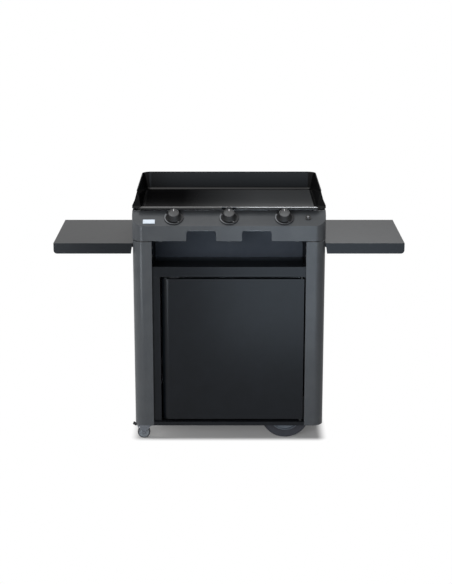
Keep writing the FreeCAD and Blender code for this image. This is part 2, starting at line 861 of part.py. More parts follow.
def door_pins(pin_x, pin_y, bottom, top):
    """Pivot pins at the door's lower and upper right corners."""
    reach = S.hinge_pin_reach
    lower = rod("pin_lower", S.hinge_pin_radius, (pin_x, pin_y, bottom - S.door_bottom_gap - reach),
                reach + S.door_bottom_gap + S.hinge_pin_grip)
    collar = rod("pin_collar", S.hinge_collar, (pin_x, pin_y, BASE_TOP + S.seat_gap),
                 S.door_bottom_gap - S.seat_gap)
    upper = rod("pin_upper", S.hinge_pin_radius, (pin_x, pin_y, top - S.hinge_pin_grip),
                S.hinge_pin_grip + S.door_top_gap + S.tray_floor + S.sheet + S.seat_gap)
    keep("door_hinge_pins", group("hinge_pin_group", [fuse("pin_lower_collared", [lower, collar]), upper]))


def magnet(back, top):
    """Magnet block that hangs from the niche floor just behind the door's strike."""
    half = S.magnet_width / 2
    keep("door_magnet", block("magnet", (-MAGNET_X - half, back + S.seat_gap, top - half),
                              (-MAGNET_X + half, back + S.seat_gap + half, NICHE_FLOOR)))


# Control head

def control_head():
    """Rounded shell with fascia and slanted control panel, open above and below."""
    owner = body("control_head")
    outline = sketch_on(owner, "head_plan", "XY_Plane", HEAD_BOTTOM)
    draw_rectangle(outline, (-HALF_HEAD, FRONT), (HALF_HEAD, HEAD_REAR))
    pad(owner, outline, PANEL_TOP - HEAD_BOTTOM)
    for x in (-HALF_HEAD, HALF_HEAD):
        side = "left" if x.value < 0 else "right"
        round_edges(owner, f"head_front_{side}", S.corner_radius + S.head_proud, upright_at(x, FRONT))
        round_edges(owner, f"head_rear_{side}", S.head_rear_radius, upright_at(x, HEAD_REAR))
    slant = sketch_on(owner, "head_slant", "YZ_Plane", -HALF_HEAD - S.head_proud)
    draw_polygon(slant, [(FRONT, FOLD_HEIGHT), (PANEL_TOP_Y, PANEL_TOP),
                         (PANEL_TOP_Y, PANEL_TOP + S.head_proud),
                         (FRONT - S.head_proud, PANEL_TOP + S.head_proud),
                         (FRONT - S.head_proud, FOLD_HEIGHT)])
    pocket(owner, slant, (HALF_HEAD + S.head_proud) * 2, backwards=True)
    hollow(owner, "head_shell", S.head_sheet,
           lambda face: flat_at("z", HEAD_BOTTOM)(face) or flat_at("z", PANEL_TOP)(face))
    fascia_details(owner)
    panel_holes(owner)
    outlet = sketch_on(owner, "gas_outlet", "XZ_Plane", -(HEAD_REAR - S.head_sheet * 2))
    draw_circle(outlet, (INLET_X, gas_height()), S.inlet_radius + S.seat_gap)
    pocket(owner, outlet, S.head_sheet * 3)
    keep("control_head", owner)


def fascia_details(owner):
    """Hand notches in the fascia's lower edge, and the small locating tabs beside them."""
    notches = sketch_on(owner, "hand_notches", "XZ_Plane", -(FRONT - S.head_sheet))
    top = HEAD_BOTTOM + S.notch_height
    half = S.notch_width / 2
    for side in SIDES.values():
        centre = S.notch_spacing / 2 * side
        draw_rectangle(notches, (centre - half, HEAD_BOTTOM - S.head_sheet), (centre + half, top))
    pocket(owner, notches, S.head_sheet * 3)
    round_edges(owner, "notch_corners", S.notch_radius,
                lambda edge: near(edge.BoundBox.ZMin, top) and near(edge.BoundBox.ZLength, 0)
                and near(edge.BoundBox.XLength, 0))
    tabs = sketch_on(owner, "fascia_tabs", "XZ_Plane", -FRONT)
    for column in (-1, 0, 1):
        centre = S.tab_spacing * column
        draw_rectangle(tabs, (centre - S.tab_width / 2, HEAD_BOTTOM - S.tab_height),
                       (centre + S.tab_width / 2, HEAD_BOTTOM))
    pad(owner, tabs, S.head_sheet, backwards=True)


def panel_holes(owner):
    """Holes for the three valve stems and the ignition button."""
    holes = sketch_on(owner, "panel_holes", "XY_Plane")
    holes.AttachmentOffset = Placement(Vector(0, float(FRONT), float(FOLD_HEIGHT)),
                                       Rotation(Vector(1, 0, 0), float(S.panel_tilt)))
    bind(holes, "AttachmentOffset.Base.y", FRONT)
    bind(holes, "AttachmentOffset.Base.z", FOLD_HEIGHT)
    bind(holes, "AttachmentOffset.Rotation.Angle", S.panel_tilt)
    for x in KNOB_X.values():
        draw_circle(holes, (x, S.knob_up_panel), S.stem_radius * 2)
    draw_circle(holes, (BUTTON_X, S.knob_up_panel), S.button_radius + S.seat_gap)
    pocket(owner, holes, S.head_sheet * 3)


def head_carriers():
    """Feet on the columns, base rails above them, heat shield, and the rails that carry the pan."""
    feet = []
    rails = []
    supports = []
    web = S.head_sheet
    rail_top = HEAD_BOTTOM + web
    rail_front = FRONT + S.corner_radius + S.head_proud + S.sheet
    rail_rear = HEAD_REAR - S.head_rear_radius - S.head_sheet
    inner = HALF_HEAD - S.head_sheet - S.base_rail_width - S.head_sheet * 4
    for label, side in SIDES.items():
        for end, y in (("front", FRONT + S.foot_front), ("rear", HEAD_REAR - S.foot_front / 2)):
            x = (HALF_BODY - S.column_face / 2) * side
            feet.append(rod(f"foot_{label}_{end}", S.foot_radius, (x, y, S.column_top), S.head_gap))
        low, high = mirrored_pair((inner, rail_front, HEAD_BOTTOM),
                                  (HALF_HEAD - S.head_sheet, rail_rear, rail_top), side)
        strip = block(f"base_rail_strip_{label}", low, high)
        low, high = mirrored_pair((inner, BAY_FRONT, HEAD_BOTTOM),
                                  (inner + web, rail_rear, SHIELD_BOTTOM), side)
        rails.append(fuse(f"base_rail_{label}", [strip, block(f"base_rail_web_{label}", low, high)]))
        outer = RAIL_HALF
        seat = GRIDDLE_BOTTOM - S.seat_gap
        low, high = mirrored_pair((outer - web, BAY_FRONT, SHIELD_TOP), (outer, rail_rear, seat), side)
        upright = block(f"griddle_rail_web_{label}", low, high)
        low, high = mirrored_pair((outer - S.griddle_rail_flange, BAY_FRONT, seat - web),
                                  (outer, rail_rear, seat), side)
        flange = block(f"griddle_rail_top_{label}", low, high)
        supports.append(fuse(f"griddle_rail_{label}", [upright, flange]))
    keep("head_feet", group("head_feet_group", feet))
    keep("head_base_rails", group("base_rail_group", rails))
    keep("griddle_rails", group("griddle_rail_group", supports))
    heat_shield()


def heat_shield():
    """Flat shield under the burners, with the two runners of the grease tray welded below it."""
    half = HALF_HEAD - S.shield_clear
    plate = block("shield_plate", (-half, BAY_FRONT, SHIELD_BOTTOM),
                  (half, HEAD_REAR - S.shield_clear, SHIELD_TOP))
    pieces = [plate]
    outer = S.tray_half + S.tray_flange + S.tray_sheet
    ledge_top = HEAD_BOTTOM - S.tray_top_gap - S.tray_sheet - S.seat_gap
    runner_front = FRONT + S.tray_front
    runner_rear = runner_front + S.tray_length
    for label, side in SIDES.items():
        low, high = mirrored_pair((outer, runner_front, ledge_top - S.sheet),
                                  (outer + S.sheet, runner_rear, SHIELD_BOTTOM), side)
        pieces.append(block(f"runner_web_{label}", low, high))
        low, high = mirrored_pair((S.tray_half + S.tray_sheet * 2, runner_front, ledge_top - S.sheet),
                                  (outer, runner_rear, ledge_top), side)
        pieces.append(block(f"runner_ledge_{label}", low, high))
    keep("heat_shield", fuse("heat_shield_fused", pieces))


# Gas line

def valve_point(depth):
    """Point on a valve's axis at a depth behind the panel, as Y and Z."""
    return panel_point(S.knob_up_panel, -depth)


def manifold_centre():
    """Centre of the manifold, just in front of and below the valves."""
    y, z = valve_point(S.nozzle_drop)
    reach = S.plug_radius + S.valve_wall + S.manifold_radius + S.valve_wall
    return y - reach * cosine(S.panel_tilt), z - reach * sine(S.panel_tilt)


def gas_height():
    return manifold_centre()[1]


def gas_manifold():
    y, z = manifold_centre()
    half = KNOB_SPACING + S.manifold_overhang
    tube = rod("manifold_tube", S.manifold_radius, (-half, y, z), half * 2, "x")
    bore = rod("manifold_bore", S.manifold_radius - S.sheet, (-half + S.sheet, y, z), half * 2, "x")
    keep("gas_manifold", cut("gas_manifold_cut", tube, [bore]))


def gas_valves():
    """Three taps. Each holds a turning plug, clamps on the manifold and ends in a gas nozzle."""
    valves = []
    shell = S.plug_radius + S.valve_wall
    space = S.plug_length + S.seat_gap * 2
    depth = S.valve_front + S.valve_end / 2
    manifold_y, manifold_z = manifold_centre()
    for label, x in KNOB_X.items():
        outside = rod(f"valve_outside_{label}", shell, (x, S.knob_up_panel, -(depth + space + S.valve_end)),
                      space + S.valve_end + S.valve_end / 2)
        inside = rod(f"valve_inside_{label}", S.plug_radius + S.running_gap,
                     (x, S.knob_up_panel, -(depth + space)), space)
        mouth = rod(f"valve_mouth_{label}", S.stem_radius + S.seat_gap,
                    (x, S.knob_up_panel, -(depth + space)), space + S.valve_end)
        shank = seat_on_panel(cut(f"valve_shank_{label}", outside, [inside, mouth]))
        nozzle_y, nozzle_z = valve_point(S.nozzle_drop)
        nozzle = rod(f"valve_nozzle_{label}", S.nozzle_radius,
                     (x, nozzle_y + S.plug_radius + S.valve_wall / 2, nozzle_z), S.nozzle_length - shell, "y")
        plug_space = panel_rod(f"valve_plug_space_{label}", S.plug_radius + S.running_gap, x,
                               S.knob_up_panel, -(depth + space), space)
        nozzle_cut = cut(f"valve_nozzle_cut_{label}", nozzle, [plug_space])
        clamp = panel_rod(f"valve_clamp_{label}", S.nozzle_radius + S.sheet, x,
                          S.knob_up_panel - shell - S.valve_wall - S.manifold_radius, -S.nozzle_drop,
                          S.valve_wall + S.valve_wall / 2 + S.manifold_radius, -QUARTER_TURN)
        pipe = rod(f"valve_pipe_space_{label}", S.manifold_radius, (x - shell, manifold_y, manifold_z),
                   shell * 2, "x")
        clamp_cut = cut(f"valve_clamp_cut_{label}", clamp, [pipe])
        valves.append(fuse(f"valve_{label}", [shank, nozzle_cut, clamp_cut]))
    keep("gas_valves", group("gas_valve_group", valves))


def gas_inlet_pipe():
    """Pipe from the manifold's right end to the threaded inlet at the rear."""
    y, z = manifold_centre()
    start = KNOB_SPACING + S.manifold_overhang
    bend_x = INLET_X - S.pipe_bend
    cross = rod("inlet_cross", S.pipe_radius, (start, y, z), bend_x - start, "x")
    bend = doc.addObject("Part::Torus", "inlet_bend")
    bind(bend, "Radius1", S.pipe_bend)
    bind(bend, "Radius2", S.pipe_radius)
    bend.Angle3 = 90
    place(bend, bend_x, y + S.pipe_bend, z, axis=Vector(0, 0, 1), angle=-90)
    along = rod("inlet_along", S.pipe_radius, (INLET_X, y + S.pipe_bend, z),
                HEAD_REAR - y - S.pipe_bend, "y")
    nut = rod("inlet_nut_ring", S.inlet_nut, (INLET_X, HEAD_REAR - S.head_sheet * 3 - S.inlet_nut, z),
              S.inlet_nut, "y")
    thread_start = HEAD_REAR - S.head_sheet * 3
    thread = rod("inlet_thread", S.inlet_radius, (INLET_X, thread_start, z),
                 HEAD_REAR - thread_start + S.head_rear_inset - S.seat_gap, "y")
    flange = rod("inlet_flange_ring", S.inlet_radius + S.inlet_flange,
                 (INLET_X, HEAD_REAR + S.seat_gap, z), S.inlet_flange - S.seat_gap, "y")
    bore = rod("inlet_bore", S.pipe_radius - S.sheet, (INLET_X, HEAD_REAR - S.inlet_length, z),
               S.inlet_length * 2, "y")
    solid = fuse("inlet_solid", [cross, bend, along, nut, flange, thread])
    keep("gas_inlet_pipe", cut("gas_inlet_cut", solid, [bore]))


def burner_start():
    """Y of the burners' open front ends, a little in front of the nozzles' tips."""
    nozzle_y = valve_point(S.nozzle_drop)[0]
    return nozzle_y + S.valve_wall / 2 - S.valve_wall + S.nozzle_length - S.burner_overlap


def burner(label, x):
    """Tube burner, open at the front for gas and air, with flame ports along the top."""
    z = valve_point(S.nozzle_drop)[1]
    start = burner_start()
    owner = body(f"burner_{label}")
    ring = sketch_on(owner, f"burner_ring_{label}", "XZ_Plane", -start)
    draw_circle(ring, (x, z), S.burner_radius)
    pad(owner, ring, S.burner_length, backwards=True)
    bore = sketch_on(owner, f"burner_bore_{label}", "XZ_Plane", -start)
    draw_circle(bore, (x, z), S.burner_radius - S.burner_wall)
    pocket(owner, bore, S.burner_length - S.burner_wall)
    port = sketch_on(owner, f"burner_port_{label}", "XY_Plane", z + S.burner_radius / 2)
    first = BAY_FRONT + S.port_pitch * 2
    draw_rectangle(port, (x - S.port_width / 2, first), (x + S.port_width / 2, first + S.port_length))
    opening = pocket(owner, port, S.burner_radius, backwards=True)
    doc.recompute()
    row = owner.newObject("PartDesign::LinearPattern", f"burner_ports_{label}")
    row.Originals = [opening]
    row.Direction = (port, ["V_Axis"])
    bind(row, "Length", S.port_pitch * (S.port_count - 1))
    bind(row, "Occurrences", S.port_count)
    owner.Tip = row
    return owner


def burners():
    keep("burners", group("burner_group", [burner(label, x) for label, x in KNOB_X.items()]))


def burner_brackets():
    """Front baffle and rear strip that hold the three burners, both standing on the heat shield."""
    z = valve_point(S.nozzle_drop)[1]
    half = RAIL_HALF - S.head_sheet
    rear_y = burner_start() + S.burner_length - S.burner_radius * 2
    brackets = []
    for label, y, top in (("baffle", BAY_FRONT, GRIDDLE_BOTTOM - S.baffle_gap),
                          ("strip", rear_y, z + S.burner_radius * 2)):
        plate = block(f"{label}_plate", (-half, y, SHIELD_TOP), (half, y + S.sheet, top))
        holes = [rod(f"{label}_hole_{name}", S.burner_radius + S.running_gap, (x, y - S.sheet, z),
                     S.sheet * 3, "y") for name, x in KNOB_X.items()]
        brackets.append(cut(f"burner_{label}", plate, holes))
    keep("burner_brackets", group("burner_bracket_group", brackets))


def electrodes():
    """Spark electrodes on the baffle, one beside each burner."""
    z = valve_point(S.nozzle_drop)[1] + S.burner_radius
    rods = [rod(f"electrode_{label}", S.electrode_radius,
                (x + S.burner_radius + S.electrode_radius * 2, BAY_FRONT + S.sheet, z),
                S.electrode_length, "y") for label, x in KNOB_X.items()]
    keep("electrodes", group("electrode_group", rods))


# Controls on the panel

def knob(label, x):
    """Push-and-turn knob with a flared skirt and a rounded top."""
    name = f"knob_{label}"
    low = S.knob_stand
    top = low + S.knob_height
    bore = S.stem_radius + S.running_gap
    depth = low + S.stem_in_knob
    centre = size(0)
    owner = turned(name, [
        (bore, low),
        (S.knob_radius, low),
        (S.knob_radius, low + S.knob_skirt),
        (S.knob_waist_radius, low + S.knob_skirt + S.knob_skirt / 2),
        (S.knob_top_radius, top),
        (centre, top),
        (centre, depth),
        (bore, depth),
    ])
    round_edges(owner, name + "_top_edge", S.knob_skirt / 2, ring_at(S.knob_top_radius, top))
    place(owner, x, *panel_point(S.knob_up_panel, size(0)), axis=Vector(1, 0, 0), angle=S.panel_tilt)
    keep(name, owner)


def valve_stem(label, x):
    """Push stem between the knob and the plug inside the tap."""
    bottom = -(S.valve_front + S.valve_end / 2 + S.seat_gap + S.stem_in_plug)
    keep(f"valve_stem_{label}", panel_rod(f"stem_{label}", S.stem_radius, x, S.knob_up_panel, bottom,
                                          S.knob_stand + S.stem_in_knob - S.seat_gap - bottom))


def valve_plug(label, x):
    """Turning plug inside the tap, with a blind bore for the stem."""
    top = -(S.valve_front + S.valve_end / 2 + S.seat_gap)
    plug = rod(f"plug_{label}", S.plug_radius, (x, S.knob_up_panel, top - S.plug_length), S.plug_length)
    depth = S.stem_in_plug + S.knob_stand + S.seat_gap
    bore = rod(f"plug_bore_{label}", S.stem_radius + S.running_gap, (x, S.knob_up_panel, top - depth), depth)
    keep(f"valve_plug_{label}", seat_on_panel(cut(f"plug_cut_{label}", plug, [bore])))


def bezels():
    """Rings under the knobs, each with a raised rim and a shallow floor."""
    rings = []
    for label, x in KNOB_X.items():
        disc = rod(f"bezel_disc_{label}", S.bezel_radius, (x, S.knob_up_panel, size(0)), S.bezel_thickness)
        dish = rod(f"bezel_dish_{label}", S.bezel_radius - S.bezel_rim, (x, S.knob_up_panel, S.bezel_floor),
                   S.bezel_thickness)
        hole = rod(f"bezel_hole_{label}", S.stem_radius * 2, (x, S.knob_up_panel, -S.bezel_thickness),
                   S.bezel_thickness * 3)
        rings.append(cut(f"bezel_{label}", disc, [dish, hole]))
    keep("knob_bezels", seat_on_panel(group("bezel_group", rings)))


def ignition():
    """Ignition button, its bezel, and the spark module behind the panel."""
    centre = (BUTTON_X, S.knob_up_panel)
    hole = S.button_radius + S.seat_gap
    ring = cut("button_bezel_ring",
               rod("button_bezel_disc", S.button_bezel_radius, (*centre, size(0)), S.button_bezel_thickness),
               [rod("button_bezel_hole", hole, (*centre, -S.button_bezel_thickness),
                    S.button_bezel_thickness * 3)])
    keep("igniter_bezel", seat_on_panel(ring))
    low = -S.head_sheet
    well = S.button_travel + S.seat_gap
    module = cut("igniter_module_cut",
                 rod("igniter_case", S.igniter_radius, (*centre, low - S.igniter_length), S.igniter_length),
                 [rod("igniter_well", hole, (*centre, low - well), well),
                  rod("igniter_bore", S.button_shaft_radius + S.running_gap,
                      (*centre, low - S.igniter_bore), S.igniter_bore)])
    keep("igniter_module", seat_on_panel(module))
    cap_low = size(0)
    cap = turned("button_cap", [
        (size(0), cap_low),
        (S.button_radius, cap_low),
        (S.button_radius, cap_low + S.button_side),
        (S.button_top_radius, cap_low + S.button_height),
        (size(0), cap_low + S.button_height),
    ])
    round_edges(cap, "button_dome", S.button_edge, ring_at(S.button_radius, cap_low + S.button_side))
    place(cap, BUTTON_X, S.knob_up_panel, 0)
    shaft_length = S.igniter_length / 2
    shaft = rod("button_shaft", S.button_shaft_radius, (*centre, low - shaft_length),
                shaft_length + S.head_sheet)
    keep("igniter_button", seat_on_panel(fuse("button_fused", [cap, shaft])))


def badge():
    """Blank plate at the left of the panel."""
    owner = body("badge_plate")
    outline = sketch_on(owner, "badge_outline", "XY_Plane")
    half_width = S.badge_width / 2
    half_height = S.badge_height / 2
    draw_rectangle(outline, (-half_width, S.badge_up_panel - half_height),
                   (half_width, S.badge_up_panel + half_height))
    pad(owner, outline, S.badge_thickness)
    round_edges(owner, "badge_corners", S.badge_thickness,
                lambda edge: near(edge.BoundBox.ZLength, S.badge_thickness))
    keep("badge_plate", seat_on_panel(owner, -BADGE_X))


# Griddle pan

def griddle_pan():
    """Enamelled cooking pan with flared splash walls, sloping wings and a rolled front lip."""
    rim = GRIDDLE_BOTTOM + S.griddle_wall_height
    front = FRONT + S.griddle_front_setback
    start = front + S.griddle_sheet
    lip_top = GRIDDLE_BOTTOM + S.lip_rise
    slope_rear = FRONT + S.slope_start
    drain_y = FRONT + S.drain_setback
    drains = [rod(f"pan_drain_{label}", S.drain_radius,
                  (S.drain_offset * side, drain_y, GRIDDLE_BOTTOM - S.griddle_sheet), S.griddle_sheet * 3)
              for label, side in SIDES.items()]
    outside = pan_solid("pan_outside", front, rim, size(0))
    inside = pan_solid("pan_inside", front, rim, S.griddle_sheet)
    tub = cut("pan_tub", outside, [inside, slope_space(start, slope_rear, rim, lip_top)] + drains)
    wings = griddle_wings(start, slope_rear, rim, lip_top)
    collar, collar_bore = lip_collar(front, lip_top)
    whole = fuse("pan_whole", [tub, wings, griddle_lip(start, lip_top), collar])
    keep("griddle_pan", cut("pan_slotted", whole, lip_slots(lip_top) + [collar_bore]))


def pan_solid(name, front, rim, inset):
    """Solid with flared sides and rear, upright front and rounded foot, smaller all round by an inset."""
    owner = body(name)
    foot = GRIDDLE_BOTTOM + inset
    lean = (rim - foot) * tangent(S.griddle_flare)
    outline = sketch_on(owner, name + "_plan", "XY_Plane", foot)
    half = RIM_HALF - inset - lean
    draw_rectangle(outline, (-half, front + inset), (half, REAR - inset - lean))
    pad(owner, outline, rim - foot)
    round_edges(owner, name + "_corners", S.griddle_corner - inset,
                lambda edge: edge.BoundBox.ZLength > float(S.sheet) and edge.BoundBox.YMin > 0)
    flare(owner, name + "_flare", front + inset, foot)
    round_edges(owner, name + "_folds", S.griddle_fold - inset,
                lambda edge: near(edge.BoundBox.ZMin, foot) and near(edge.BoundBox.ZLength, 0))
    return owner


def flare(owner, name, front, foot):
    """Lean every upright face outwards from the foot, except the front one."""
    doc.recompute()
    before = owner.Tip
    leaning = []
    for index, face in enumerate(before.Shape.Faces, start=1):
        box = face.BoundBox
        if box.ZLength > float(S.sheet) and not near(box.YMax, front):
            leaning.append(f"Face{index}")
        if near(box.ZMax, foot):
            neutral = f"Face{index}"
    draft = owner.newObject("PartDesign::Draft", name)
    draft.Base = (before, leaning)
    draft.NeutralPlane = (before, [neutral])
    bind(draft, "Angle", S.griddle_flare)
    draft.Reversed = True


def slope_space(start, slope_rear, rim, lip_top):
    """Space above the sloping front ends of the pan's side walls."""
    owner = body("pan_slope_space")
    section = sketch_on(owner, "pan_slope_section", "YZ_Plane", -HALF_HEAD)
    above = rim + S.lip_rise
    ahead = start - S.lip_rise * 2
    draw_polygon(section, [(slope_rear, rim), (start, lip_top), (ahead, lip_top), (ahead, above),
                           (slope_rear, above)])
    pad(owner, section, HALF_HEAD * 2)
    return owner


def griddle_lip(start, lip_top):
    """Front lip: a rolled channel over the front wall, with rounded ends."""
    owner = body("pan_lip")
    lip_front = FRONT + S.lip_setback
    half = HALF_HEAD - S.lip_side_inset
    outline = sketch_on(owner, "pan_lip_plan", "XY_Plane", lip_top - S.lip_drop)
    draw_rectangle(outline, (-half, lip_front), (half, start))
    pad(owner, outline, S.lip_drop)
    for side in SIDES.values():
        label = "left" if side < 0 else "right"
        round_edges(owner, f"lip_corner_{label}", S.lip_corner, upright_at(half * side, lip_front))
    round_edges(owner, "lip_roll", S.lip_roll,
                lambda edge: near(edge.BoundBox.ZMin, lip_top) and near(edge.BoundBox.ZLength, 0)
                and not near(edge.BoundBox.YMin, start))
    hollow(owner, "lip_shell", S.griddle_sheet,
           lambda face: flat_at("z", lip_top - S.lip_drop)(face) or near(face.BoundBox.YMin, start))
    return owner


def lip_collar(front, lip_top):
    """Small raised collar in the middle of the lip, and the hole through it."""
    start = (size(0), front - S.collar_setback, lip_top - S.griddle_sheet)
    height = S.griddle_sheet + S.collar_height
    low = (start[0], start[1], start[2] - S.collar_height)
    collar = rod("lip_collar", S.collar_radius, start, height)
    return collar, rod("lip_collar_bore", S.collar_bore, low, height * 2)


def lip_slots(lip_top):
    """Two short slots through the lip's rolled front edge, one on each side of the collar."""
    slots = []
    lip_front = FRONT + S.lip_setback
    for label, side in SIDES.items():
        centre = S.drain_offset * side
        low = (centre - S.slot_length / 2, lip_front - S.sheet, lip_top - S.slot_drop)
        high = (centre + S.slot_length / 2, lip_front + S.slot_width, lip_top + S.griddle_sheet)
        slots.append(block(f"lip_slot_{label}", low, high))
    return slots


def griddle_wings(start, slope_rear, rim, lip_top):
    """Sloping side flanges that widen from the walls' tops and end beside the lip."""
    run = slope_rear - start
    rise = rim - lip_top
    angle = slope_angle(rise, run)
    length = run / cosine(angle)
    owner = body("pan_wings")
    wings = sketch_on(owner, "pan_wing_outlines", "XY_Plane", lip_top)
    wings.AttachmentOffset = Placement(Vector(0, float(start), float(lip_top)),
                                       Rotation(Vector(1, 0, 0), float(angle)))
    bind(wings, "AttachmentOffset.Base.y", start)
    bind(wings, "AttachmentOffset.Base.z", lip_top)
    bind(wings, "AttachmentOffset.Rotation.Angle", angle)
    gauge = S.griddle_sheet
    narrow = RIM_HALF - rise * tangent(S.griddle_flare)
    for side in SIDES.values():
        draw_polygon(wings, [
            ((RIM_HALF - gauge / 2) * side, length - gauge),
            (WING_BEND * side, S.wing_bend_up),
            (HALF_HEAD * side, S.wing_foot),
            (HALF_HEAD * side, -S.wing_drop),
            ((narrow - gauge / 2) * side, -S.wing_drop),
        ])
    pad(owner, wings, gauge, backwards=True)
    return owner


def slope_angle(rise, run):
    return Size(math.degrees(math.atan2(rise.value, run.value)), f"atan({rise.text} / {run.text})")


def grease_chute():
    """Two drain tubes under the pan that end in a sloping trough above the grease tray."""
    front = FRONT + S.chute_front
    rear = front + S.chute_length
    top = SHIELD_BOTTOM - S.seat_gap
    low_front = top - S.chute_front_depth
    low_rear = top - S.chute_rear_depth
    wall = S.chute_wall
    owner = body("chute_trough")
    outer = sketch_on(owner, "trough_outside", "YZ_Plane", -S.chute_half)
    draw_polygon(outer, [(front, top), (front, low_front), (rear, low_rear), (rear, top)])
    pad(owner, outer, S.chute_half * 2)
    inner = sketch_on(owner, "trough_inside", "YZ_Plane", -S.chute_half + wall)
    draw_polygon(inner, [(front + wall, top + wall), (front + wall, low_front + wall),
                         (rear + wall, low_rear + wall), (rear + wall, top + wall)])
    pocket(owner, inner, (S.chute_half - wall) * 2, backwards=True)
    drain_y = FRONT + S.drain_setback
    cover = block("chute_cover", (-S.chute_half, front, top - wall),
                  (S.chute_half, drain_y + S.drain_radius * 2, top))
    tubes = []
    bores = []
    for label, side in SIDES.items():
        start = (S.drain_offset * side, drain_y, top - wall)
        height = GRIDDLE_BOTTOM - S.seat_gap - top + wall
        tubes.append(rod(f"drain_tube_{label}", S.drain_radius + wall, start, height))
        bores.append(rod(f"drain_bore_{label}", S.drain_radius, start, height))
    solid = fuse("chute_solid", [owner, cover] + tubes)
    keep("grease_chute", cut("grease_chute_cut", solid, bores))


def grease_tray():
    """Removable tray that hangs by its side flanges on the runners."""
    top = HEAD_BOTTOM - S.tray_top_gap
    front = FRONT + S.tray_front
    rear = front + S.tray_length
    gauge = S.tray_sheet
    shell = cut("tray_shell",
                block("tray_outside", (-S.tray_half, front, top - S.tray_depth), (S.tray_half, rear, top)),
                [block("tray_inside", (-S.tray_half + gauge, front + gauge, top - S.tray_depth + gauge),
                       (S.tray_half - gauge, rear - gauge, top))])
    flanges = []
    for label, side in SIDES.items():
        low, high = mirrored_pair((S.tray_half - gauge, front, top - gauge),
                                  (S.tray_half + S.tray_flange, rear, top), side)
        flanges.append(block(f"tray_flange_{label}", low, high))
    grip = block("tray_grip", (-S.tray_half / 2, front - S.tray_flange, top - gauge),
                 (S.tray_half / 2, front + gauge, top))
    keep("grease_tray", fuse("grease_tray_fused", [shell, grip] + flanges))


# Side shelves

def shelf_pivot():
    """Distance of the shelf's hinge line from the middle, and its height."""
    return HALF_BODY + S.shelf_gap + S.shelf_relief + S.ear_rise, S.shelf_top - S.shelf_pivot_drop


def bracket_heights():
    """Lower and upper edge of the brackets' feet, just under the shelf's sheet."""
    top = S.shelf_top - S.shelf_sheet - S.bracket_top_gap
    return top - S.bracket_height, top


def shelf_ends():
    """Inner face of each cheek, and the direction from there towards the shelf's middle."""
    near_y = BODY_FRONT + S.shelf_setback + S.shelf_sheet + S.cheek_thickness
    far_y = BODY_FRONT + S.shelf_setback + S.shelf_depth - S.shelf_sheet - S.cheek_thickness
    return {"front": (near_y, 1), "rear": (far_y, -1)}


def shelf(name, side):
    """Fold-down shelf: a sheet top with skirts, cut back on a slant at its inner end."""
    owner = body(name)
    inner = HALF_BODY + S.shelf_gap
    outer = inner + S.shelf_length
    bottom = S.shelf_top - S.shelf_thickness
    relief = inner + S.shelf_relief
    shoulder = S.shelf_top - S.shelf_relief_drop
    front = BODY_FRONT + S.shelf_setback
    outline = sketch_on(owner, name + "_side", "XZ_Plane", -front)
    draw_polygon(outline, [(inner * side, S.shelf_top), (outer * side, S.shelf_top), (outer * side, bottom),
                           (relief * side, bottom), ((inner + S.shelf_relief_top) * side, shoulder),
                           (inner * side, shoulder)])
    pad(owner, outline, S.shelf_depth, backwards=True)

    def outer_corner(edge):
        box = edge.BoundBox
        along_depth = near(box.XLength, 0) and near(box.ZLength, 0)
        return along_depth and near(abs(box.XMin), outer) and near(box.ZMin, bottom)

    round_edges(owner, name + "_corner", S.shelf_corner, outer_corner)
    space = sketch_on(owner, name + "_space", "XZ_Plane", -(front + S.shelf_sheet))
    draw_polygon(space, [((inner - S.shelf_gap) * side, S.shelf_top - S.shelf_sheet),
                         ((outer - S.shelf_sheet) * side, S.shelf_top - S.shelf_sheet),
                         ((outer - S.shelf_sheet) * side, bottom + S.shelf_corner),
                         ((outer - S.shelf_corner) * side, bottom - S.shelf_sheet),
                         ((inner - S.shelf_gap) * side, bottom - S.shelf_sheet)])
    pocket(owner, space, S.shelf_depth - S.shelf_sheet * 2)
    keep(name, owner)


def shelf_hinge(name, side):
    """Cheeks welded inside the shelf's skirts, each with the stud the shelf turns on."""
    pivot_x, pivot_z = shelf_pivot()
    top = S.shelf_top - S.shelf_sheet
    cheeks = []
    for end, (face, inward) in shelf_ends().items():
        back = face - S.cheek_thickness * inward
        low_y, high_y = (back, face) if inward > 0 else (face, back)
        low, high = mirrored_pair((pivot_x, low_y, pivot_z - S.ear_rise + S.sheet),
                                  (pivot_x + S.cheek_length, high_y, top), side)
        plate = block(f"{name}_{end}_plate", low, high)
        eye = rod(f"{name}_{end}_eye", S.ear_rise - S.sheet, (pivot_x * side, low_y, pivot_z),
                  S.cheek_thickness, "y")
        stud_length = S.seat_gap + S.ear_thickness + S.sheet
        start = face if inward > 0 else face - stud_length
        stud = rod(f"{name}_{end}_stud", S.stud_radius, (pivot_x * side, start, pivot_z), stud_length, "y")
        cheeks.append(fuse(f"{name}_{end}", [plate, eye, stud]))
    keep(name, group(f"{name}_group", cheeks))


